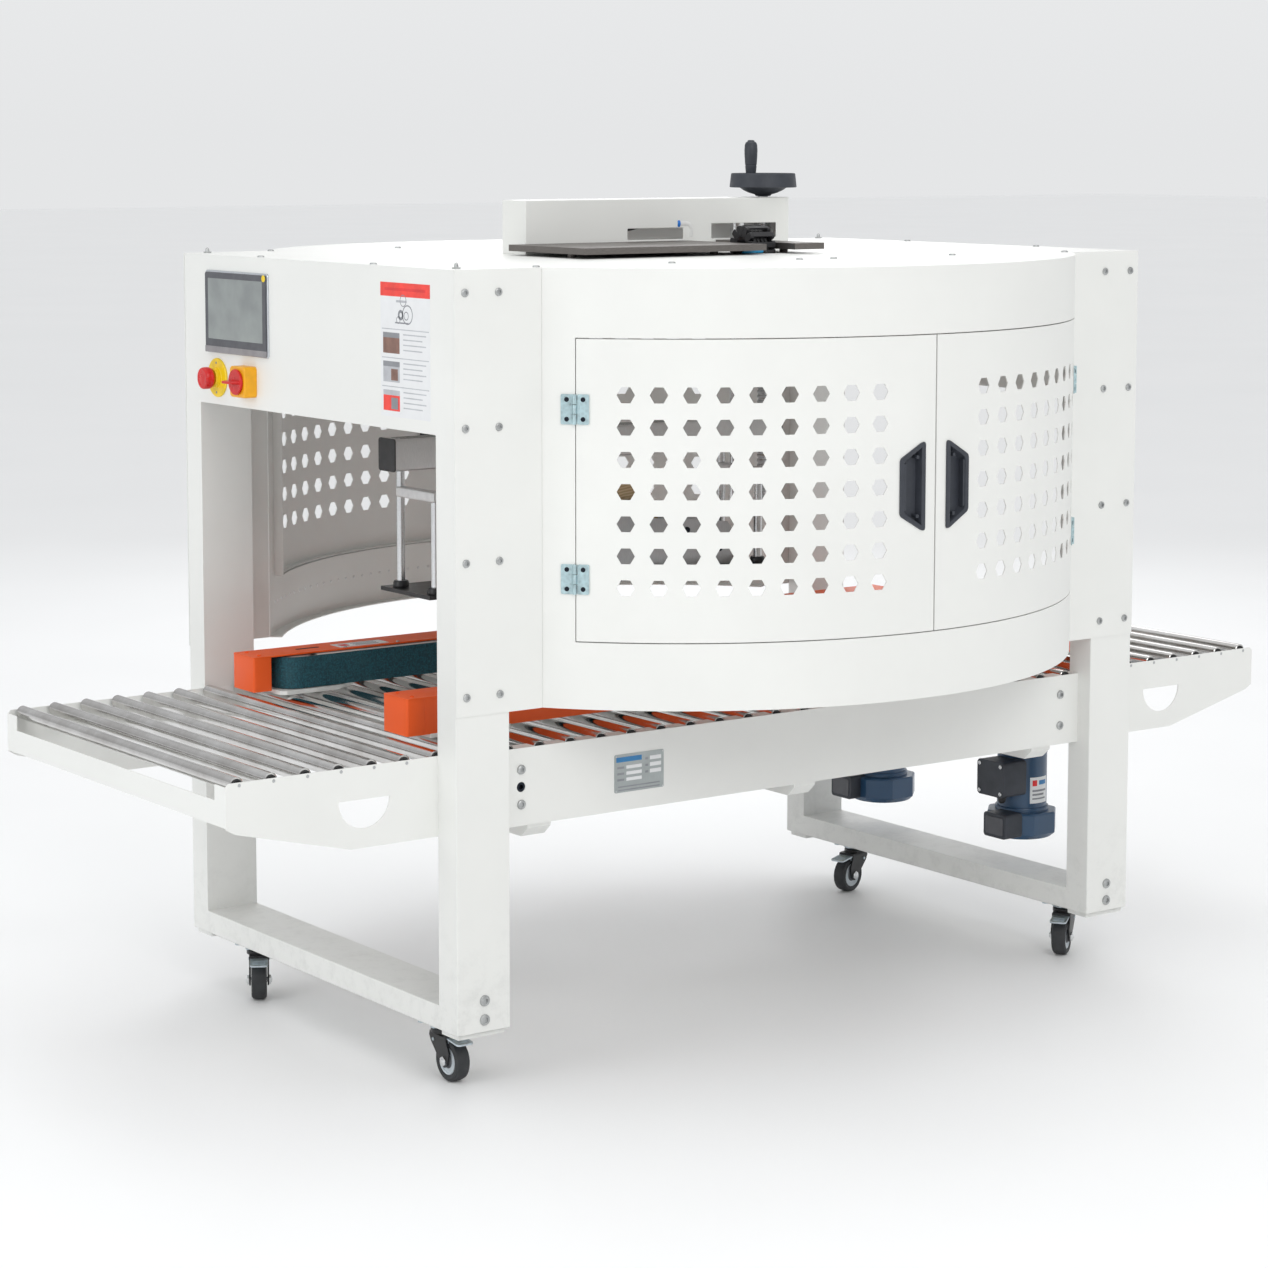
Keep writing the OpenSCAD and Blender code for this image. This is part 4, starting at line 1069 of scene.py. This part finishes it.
def make_switch():
    """The amber base block, its collar, and the red disc and blade that turn."""
    p = Piece("switch_base")
    place = on_end(*SWITCH_YZ)
    p.rounded_box((-29, -29, 0), (29, 29, SWITCH_BASE - 2), 7, "amber", place=place)
    p.loft([[(a, b, SWITCH_BASE - 2) for a, b in rounded(-29, -29, 29, 29, 7)],
            [(a, b, SWITCH_BASE) for a, b in rounded(-27, -27, 27, 27, 6)]], "amber", place)
    p.finish(ROOT, bevel=0.8)
    q = Piece("switch_handle")
    z = SWITCH_BASE + 0.3
    q.lathe([(0, z), (23, z), (24, z + 1), (24, z + 4.6), (23, z + 5.6), (0, z + 5.6)], "red", place=place,
            segments=64)
    q.loft([[(a, b, z + 5) for a, b in rounded(-4, -21, 4, 21, 3.4)],
            [(a, b, z + 16) for a, b in rounded(-3, -19, 3, 19, 2.6)],
            [(a, b, z + 23) for a, b in rounded(-2.4, -17, 2.4, 17, 2)]], "red", place)
    q.finish("switch_knob", ["switch_knob"], bevel=0.6)


# ---------------------------------------------------------------- labels

def make_guide_label():
    """The operating guide: red header, drawing, and three rows of picture and lines, all without text."""
    p = Piece("guide_label")
    width, height = 161, 233
    place = on_end(-404 + width / 2, 1168 + height / 2)

    def sticker(left, top, w, h, level, mat):
        """A patch measured from the top left corner as a reader sees it."""
        y1 = width / 2 - left
        x1 = height / 2 - top
        p.box((x1 - h, y1 - w, 0.1 * level), (x1, y1, 0.1 * level + 0.3), mat, place)

    sticker(0, 0, width, height, 0, "paper")
    sticker(0, 0, width, 24, 1, "ink_header")
    sticker(14, 9, width - 28, 5, 2, "ink_red")
    drawn_rings = ((15, 17, 62, -8), (6, 7.6, 60, -4), (9, 10.4, 86, 6), (5, 6.4, 52, 22), (4, 9, 61, 14))
    for r0, r1, x, y in drawn_rings:
        ring = [(r0, 0.1), (r1, 0.1), (r1, 0.42), (r0, 0.42), (r0, 0.1)]
        p.lathe(ring, "ink_grey", (x, y, 0), place=place, segments=32)
    sticker(52, 30, 34, 4, 1, "ink_pale")
    sticker(48, 68, 44, 2.4, 1, "ink_grey")
    for row in range(3):
        top = 84 + 50 * row
        sticker(4, top - 4, width - 8, 1.6, 1, "ink_pale")
        sticker(8, top + 3, 54, 36, 1, ("ink_brown", "ink_pale", "ink_header")[row])
        sticker(8, top + 3, 54, 9, 2, ("ink_grey", "ink_grey", "ink_pale")[row])
        if row:
            sticker(34, top + 16, 22, 20, 2, ("", "ink_brown", "ink_grey")[row])
        for line in range(4):
            sticker(74, top + 4 + 9 * line, 74 - 12 * (line % 2), 2, 1, "ink_pale")
    p.finish(ROOT, bevel=0)


def make_rating_plate():
    """The rating plate on the front rail, with ruled fields and no text."""
    p = Piece("rating_plate")
    y = -443
    x0, z0, width, height = -443, 486, 109, 69
    p.rounded_box((x0, y - 0.8, z0), (x0 + width, y, z0 + height), 3, "plate_alloy", "y")

    def field(left, low, w, h, mat):
        p.box((x0 + left, y - 1.0, z0 + low), (x0 + left + w, y - 0.7, z0 + low + h), mat)

    field(4, 55, 56, 9, "ink_blue")
    for row in range(3):
        field(26, 42 - 11 * row, 34, 6, "paper")
        field(6, 43 - 11 * row, 15, 4, "ink_grey")
        field(78, 53 - 12 * row, 25, 7, "paper")
        field(68, 54 - 12 * row, 6, 4, "ink_grey")
    for row in range(2):
        field(8, 9 - 6 * row, 92, 2.4, "ink_grey")
    for dx in (3, width - 3):
        for dz in (3, height - 3):
            p.lathe([(0, 0), (1.4, 0), (1.2, 0.7), (0, 1)], "bright", segments=12,
                    place=aim((x0 + dx, y - 0.8, z0 + dz), (0, -1, 0)))
    p.finish(ROOT, bevel=0)


# ---------------------------------------------------------------- mast on the roof

def make_handwheel():
    """The dished wheel, its hub cap, and the revolving grip."""
    low, high, mid = box_mm("handwheel")
    r = (high.x - low.x) / 2
    z = low.z
    p = Piece("handwheel_dish")
    p.lathe([(0, 0), (14, 0), (15.5, 1), (17, 3), (29, 6.5), (40, 11.5), (47.5, 17), (r - 1.5, 17.2),
             (r, 18.5), (r - 0.3, 20), (r - 3, 44), (r - 4.4, 45.6), (r - 7, 45.6), (r - 8.4, 44),
             (r - 9, 34), (r - 13, 28), (28, 24.5), (22, 27), (19, 34), (17, 36), (10, 36), (9.4, 35),
             (0, 35)],
            "charcoal", (mid.x, mid.y, z), segments=96)
    p.rod(4, (mid.x, joint_place("grip_spin").y, z + 26), 28, "steel")
    p.finish("handwheel", ["handwheel"], bevel=0)
    _grip_low, grip_high, grip_mid = box_mm("handwheel_grip")
    foot = z + 30
    tall = grip_high.z - foot
    q = Piece("handwheel_handle")
    profile = [(0, 0), (8.4, 0), (9, 0.8), (9.6, tall * 0.12), (11.2, tall * 0.3), (11.6, tall * 0.36),
               (11.1, tall * 0.37), (11.1, tall * 0.385), (11.8, tall * 0.395), (12.9, tall * 0.6),
               (13.3, tall * 0.75), (12.6, tall * 0.88), (10.6, tall * 0.94), (7.4, tall * 0.965),
               (6.6, tall * 0.99), (5, tall), (0, tall)]
    q.lathe(profile, "charcoal", (grip_mid.x, grip_mid.y, foot), segments=48)
    q.finish("handwheel_grip", ["handwheel_grip"], bevel=0)


def threaded(p, r, at, axis, start, end, mat, lead=10):
    """A trapezoidal thread drawn as rings one lead apart, with plain ends."""
    profile = [(0, start), (r - 0.5, start), (r, start + 0.5), (r, start + 20)]
    turns = int((end - start - 40) / lead)
    for k in range(turns):
        h = start + 20 + k * lead
        profile += [(r - 1.6, h + lead * 0.2), (r - 1.6, h + lead * 0.5), (r, h + lead * 0.7), (r, h + lead)]
    profile += [(r, end - 0.5), (r - 0.5, end), (0, end)]
    p.lathe(profile, mat, at, axis, 24)


def make_spindles():
    low, high, mid = box_mm("lift_screw")
    p = Piece("lift_spindle")
    threaded(p, (high.x - low.x) / 2, (mid.x, mid.y, 0), "z", low.z, high.z, "steel")
    p.finish("handwheel", ["lift_screw"], bevel=0)
    low, high, mid = box_mm("width_screw")
    q = Piece("width_spindle")
    threaded(q, 8, (mid.x, 0, mid.z), "y", low.y + 12, high.y - 12, "steel")
    for out in (-1, 1):
        tip = out * high.y
        q.lathe([(0, tip - out * 6), (4.4, tip - out * 6, 6), (4.4, tip, 6), (8, tip), (9, tip - out),
                 (9, tip - out * 12), (0, tip - out * 12)], "dark_screw", (mid.x, 0, mid.z), "y", 36)
    q.finish("width_screw", ["width_screw"], bevel=0)


def make_cable_carrier():
    """The carrier's links round their bend, with side plates and cross bars."""
    low, high, _mid = box_mm("energy_chain")
    cy, r = (low.y + high.y) / 2, (high.y - low.y) / 2 - 11
    z_axis = high.z - r - 11
    p = Piece("cable_carrier")
    pitch = 15.0
    path = []
    s = 0.0
    leg = z_axis - low.z
    bend = math.pi * r
    while s + pitch / 2 < 2 * leg + bend:
        m = s + pitch / 2
        if m < leg:
            path.append((cy - r, low.z + m, 0.0))
        elif m < leg + bend:
            t = (m - leg) / r
            path.append((cy - r * math.cos(t), z_axis + r * math.sin(t), t))
        else:
            path.append((cy + r, z_axis - (m - leg - bend), math.pi))
        s += pitch
    for y, z, t in path:
        place = Matrix.Translation((0, y * MM, z * MM)) @ Matrix.Rotation(-t, 4, "X")
        for x0, x1 in ((low.x, low.x + 7), (high.x - 7, high.x)):
            p.rounded_box((x0, -10.5, -7), (x1, 10.5, 7), 4, "black", "x", place)
        p.box((low.x + 6, -11, -5), (high.x - 6, -7.5, 5), "black", place)
        p.box((low.x + 6, 7.5, -5), (high.x - 6, 10.5, 5), "black", place)
    for k in range(4):
        x = low.x + 15 + 9 * k
        hose = [(x, y + (0.5 if k % 2 else -0.5), z) for y, z, _t in path]
        p.sweep(hose, 4, "hose", 10)
    p.finish(ROOT, ["energy_chain"], bevel=0.5)


def make_air_fittings():
    """The elbow in the mast's window and the flow valve under the bridge plate."""
    p = Piece("air_elbow")
    bend = [(62 + 12 * math.sin(math.radians(a)), 26, 1470 + 12 * math.cos(math.radians(a)))
            for a in range(0, 91, 15)]
    p.sweep([(40, 26, 1482)] + bend + [(74, 26, 1456)], 7.5, "fitting_white", 20)
    p.lathe([(4, 0), (8.6, 0), (9, 1), (9, 4), (8, 6), (4, 6)], "fitting_blue", segments=32,
            place=aim((46, 26, 1482), (-1, 0, 0)))
    p.sweep([(42, 26, 1482), (10, 30, 1482), (-30, 44, 1478), (-60, 60, 1470)], 4, "hose", 12)
    p.finish(ROOT, bevel=0)
    q = Piece("flow_valve")
    q.rounded_box((44, -186, 1430), (92, -166, 1440.5), 3, "valve_blue", "x")
    q.lathe([(3, 0), (6.5, 0), (6.5, 10), (5, 12), (3, 12)], "black", segments=24,
            place=aim((92, -176, 1435.2), (1, 0, 0)))
    q.lathe([(3, 0), (6, 0), (6, 14), (3, 14)], "hose", segments=24,
            place=aim((44, -176, 1435.2), (-1, 0, 0)))
    q.finish(ROOT, bevel=0.5)


# ---------------------------------------------------------------- top head and tape units

SPINDLE_X, SPINDLE_Y, _ = box_mm("lift_screw")[2]
COLUMN_X = 220
HANGER_XS = (-575, 180)
HEAD_Z = 812


def make_top_head():
    """The beam with capped ends and bushes, the hangers and the black base plate."""
    low, high, _mid = box_mm("top_head")
    p = Piece("head_beam")
    p.loft([[(x, y, z) for y, z in rounded(32, 1032, 88, 1092, 5)] for x in (low.x + 3, high.x - 3)], "alloy")
    for x0, x1 in ((low.x, low.x + 3), (high.x - 3, high.x)):
        p.rounded_box((x0, 31, 1031), (x1, 89, 1093), 6, "black", "x")
    for x in (-COLUMN_X, COLUMN_X):
        bush = [(15.2, 1020), (22, 1020), (24, 1024), (24, 1100), (22, 1104), (15.2, 1104)]
        p.lathe(bush, "steel", (x, SPINDLE_Y, 0))
    nut = [(10.2, 1024), (17, 1024), (17, 1032), (24, 1032), (24, 1098), (10.2, 1098)]
    p.lathe(nut, "brass", (SPINDLE_X, SPINDLE_Y, 0))
    for x in HANGER_XS:
        p.lathe([(0, HEAD_Z), (8, HEAD_Z), (8, 1032), (0, 1032)], "bright", (x, SPINDLE_Y, 0))
        p.lathe([(0, HEAD_Z), (8, HEAD_Z), (8, 982), (0, 982)], "bright", (x, -SPINDLE_Y, 0))
        p.rounded_box((x - 10, -72, 982), (x + 10, SPINDLE_Y, 1002), 4, "alloy", "y")
        for y in (SPINDLE_Y, -SPINDLE_Y):
            p.lathe([(8, 812), (15, 812), (15, 820), (13, 824), (8, 824)], "black_coat", (x, y, 0))
    # three near-black strips along the beam's top: painted shade for the profile's slots
    for k in range(3):
        y = 44 + 15 * k
        p.box((low.x + 20, y - 2.5, 1091.2), (high.x - 20, y + 2.5, 1092.3), "painted_slot_shade")
    p.finish("top_head", ["top_head"], bevel=0.7)
    q = Piece("head_base_plate")
    for x0, x1, y0, y1 in ((-600, -352, -80, 92), (152, 200, -80, 92), (-352, 152, -80, -42),
                           (-352, -240, 42, 92), (-200, 152, 42, 92), (-240, -200, 80, 92)):
        q.box((x0, y0, 804.2), (x1, y1, 811.8), "black_coat")
    for x in (-560, -460, -360, 160, 186):
        screw(q, (x, -68, 811.8), (0, 0, 1), 6, 4, "dark_screw")
        screw(q, (x, 80, 811.8), (0, 0, 1), 6, 4, "dark_screw")
    q.finish("top_head", bevel=0)


SPOOL_X, SPOOL_Z = -120, 100


def tape_outline():
    """The side plate of a tape unit in X and Z, its product edge at the bottom."""
    low, high = 6, 145
    return ([(-340, low + 14), (-326, low), (126, low), (140, low + 14), (140, 70), (120, 92)]
            + arc(SPOOL_X, SPOOL_Z, 60, 10, 20, 3) + [(-40, high), (-200, high), (-240, 120), (-340, 96)])


def make_tape_unit(node, name, body, base, up):
    """One tape unit: side plates, roller arms with springs, rubber rollers and tape roll."""
    place = (Matrix.Translation((0, 0, base * MM))
             @ Matrix.Diagonal((1, 1, up, 1)))
    p = Piece(name)
    for sy in (-1, 1):
        y0, y1 = sorted((sy * 37, sy * 40))
        p.prism(tape_outline(), y0, y1, "steel", "y", place)
        for x in (-300, -200, 20, 100):
            p.lathe([(0, 0), (6, 0), (6, 3), (4.5, 4.6), (0, 5)], "dark_screw", segments=20,
                    place=place @ aim((x, sy * 40, 40 if x in (-300, 100) else 82), (0, sy, 0)))
        for x in (-330, 10):
            y0, y1 = sorted((sy * 38, sy * 49))
            p.box((x, y0, 8), (x + 80, y1, 11), "steel", place)
    for x, out in ((-300, -24), (100, 24)):
        for sy in (-1, 1):
            y0, y1 = sorted((sy * 31, sy * 34))
            arm = [(x - 9, 40), (x, 49), (x + 9, 40), (x + out + 9, -12), (x + out, -21), (x + out - 9, -12)]
            p.prism(arm, y0, y1, "black_coat", "y", place)
        p.lathe([(0, -30), (16, -30), (17, -29), (17, 29), (16, 30), (0, 30)], "rubber_roll",
                (x + out, 0, -12), "y", 40, place)
        p.rod(5, (x + out, -34, -12), 68, "bright", "y", place=place)
        p.rod(6, (x, -37, 40), 74, "bright", "y", place=place)
        turns = [k * math.pi / 4 for k in range(73)]
        coil = [(x + 14 + 60 * k / 72, 18 + 4.5 * math.cos(t), 60 + 4.5 * math.sin(t))
                for k, t in enumerate(turns)]
        p.sweep(coil, 0.9, "bright", 6, place)
    p.lathe([(38, -24), (81.5, -24), (82, -23), (82, 23), (81.5, 24), (38, 24), (38, -24)], "tape",
            (SPOOL_X, 0, SPOOL_Z), "y", 80, place)
    spool = [(0, -36), (34, -36), (34, -26), (37.8, -25), (37.8, 25), (34, 26), (34, 36), (0, 36)]
    p.lathe(spool, "charcoal", (SPOOL_X, 0, SPOOL_Z), "y", 40, place)
    for x, z in ((-250, 20), (-40, 18), (60, 24)):
        p.rod(7, (x, -36, z), 72, "chrome", "y", place=place)
    p.finish(body, [node], bevel=0)


# ---------------------------------------------------------------- build

keep_cabinet()
make_frame_screws()
make_rivets()
for side, sy in SIDES:
    for end, sx in ENDS:
        make_handle(side, sy, end, sx)
        make_hinges(side, sy, end, sx)
        make_caster(side, end)
    make_belt(side, sy)
    make_belt_cover(side, sy)
    make_belt_frame(side, sy)
    make_motor(side, sy)
make_rollers()
make_panel()
make_estop()
make_switch()
make_guide_label()
make_rating_plate()
make_handwheel()
make_spindles()
make_cable_carrier()
make_air_fittings()
make_top_head()
make_tape_unit("top_tape_unit", "tape_head_upper", "top_head", 804, 1)
make_tape_unit("bottom_tape_unit", "tape_head_lower", ROOT, 592, -1)


# ---------------------------------------------------------------- stage, light and camera

def make_floor():
    mesh = bpy.data.meshes.new("floor")
    size = 60.0
    corners = [(-size, -size, 0), (size, -size, 0), (size, size, 0), (-size, size, 0)]
    mesh.from_pydata(corners, [], [(0, 1, 2, 3)])
    floor = bpy.data.objects.new("floor", mesh)
    bpy.context.collection.objects.link(floor)
    mesh.materials.append(floor_paint("floor_paint"))


def make_light(name, size, energy, place, target, colour=(1, 1, 1)):
    lamp = bpy.data.lights.new(name, "AREA")
    lamp.shape = "DISK"
    lamp.size = size
    lamp.energy = energy
    lamp.color = colour
    obj = bpy.data.objects.new(name, lamp)
    obj.location = place
    obj.rotation_euler = (Vector(target) - Vector(place)).to_track_quat("-Z", "Y").to_euler()
    bpy.context.collection.objects.link(obj)


def make_world():
    world = bpy.data.worlds.new("studio")
    world.use_nodes = True
    tree = world.node_tree
    back = tree.nodes["Background"]
    split = tree.nodes.new("ShaderNodeSeparateXYZ")
    tree.links.new(tree.nodes.new("ShaderNodeTexCoord").outputs["Generated"], split.inputs[0])
    ramp = tree.nodes.new("ShaderNodeValToRGB")
    stops = ((0.0, 0.8), (0.08, 0.84), (0.22, 0.5), (0.5, 0.66), (0.75, 0.98))
    cells = ramp.color_ramp.elements
    while len(cells) < len(stops):
        cells.new(0.5)
    for cell, (height, grey) in zip(cells, stops):
        cell.position = height
        cell.color = (grey * 0.98, grey * 0.99, grey, 1)
    tree.links.new(split.outputs["Z"], ramp.inputs["Fac"])
    tree.links.new(ramp.outputs["Color"], back.inputs["Color"])
    bpy.context.scene.world = world


def make_camera():
    """The photograph's viewpoint: low, to the front left, long lens."""
    data = bpy.data.cameras.new("camera")
    data.sensor_width = 36.0
    data.lens = 90.36
    data.shift_y = -0.118
    cam = bpy.data.objects.new("camera", data)
    yaw, pitch, roll = math.radians(35.93), math.radians(6.27), math.radians(0.05)
    look = Vector((math.sin(yaw) * math.cos(pitch), math.cos(yaw) * math.cos(pitch), -math.sin(pitch)))
    turn = look.to_track_quat("-Z", "Y").to_matrix().to_4x4() @ Matrix.Rotation(roll, 4, "Z")
    cam.matrix_world = Matrix.Translation((-3.693, -4.987, 1.655)) @ turn
    bpy.context.collection.objects.link(cam)
    bpy.context.scene.camera = cam


make_floor()
make_world()
make_light("key", 3.5, 88, (-1.5, -5.5, 4.2), (0, -0.4, 0.8), (1, 0.99, 0.97))
make_light("side", 3.0, 58, (-6.0, -0.5, 2.6), (-0.8, 0, 0.8), (0.97, 0.99, 1))
make_light("top", 4.0, 36, (0.5, 1.0, 5.5), (0, 0, 1), (1, 1, 1))
make_light("back", 3.0, 40, (3.5, 4.5, 3.0), (0, 0, 0.8), (1, 1, 1))
make_camera()
bpy.context.scene.view_settings.view_transform = "Standard"
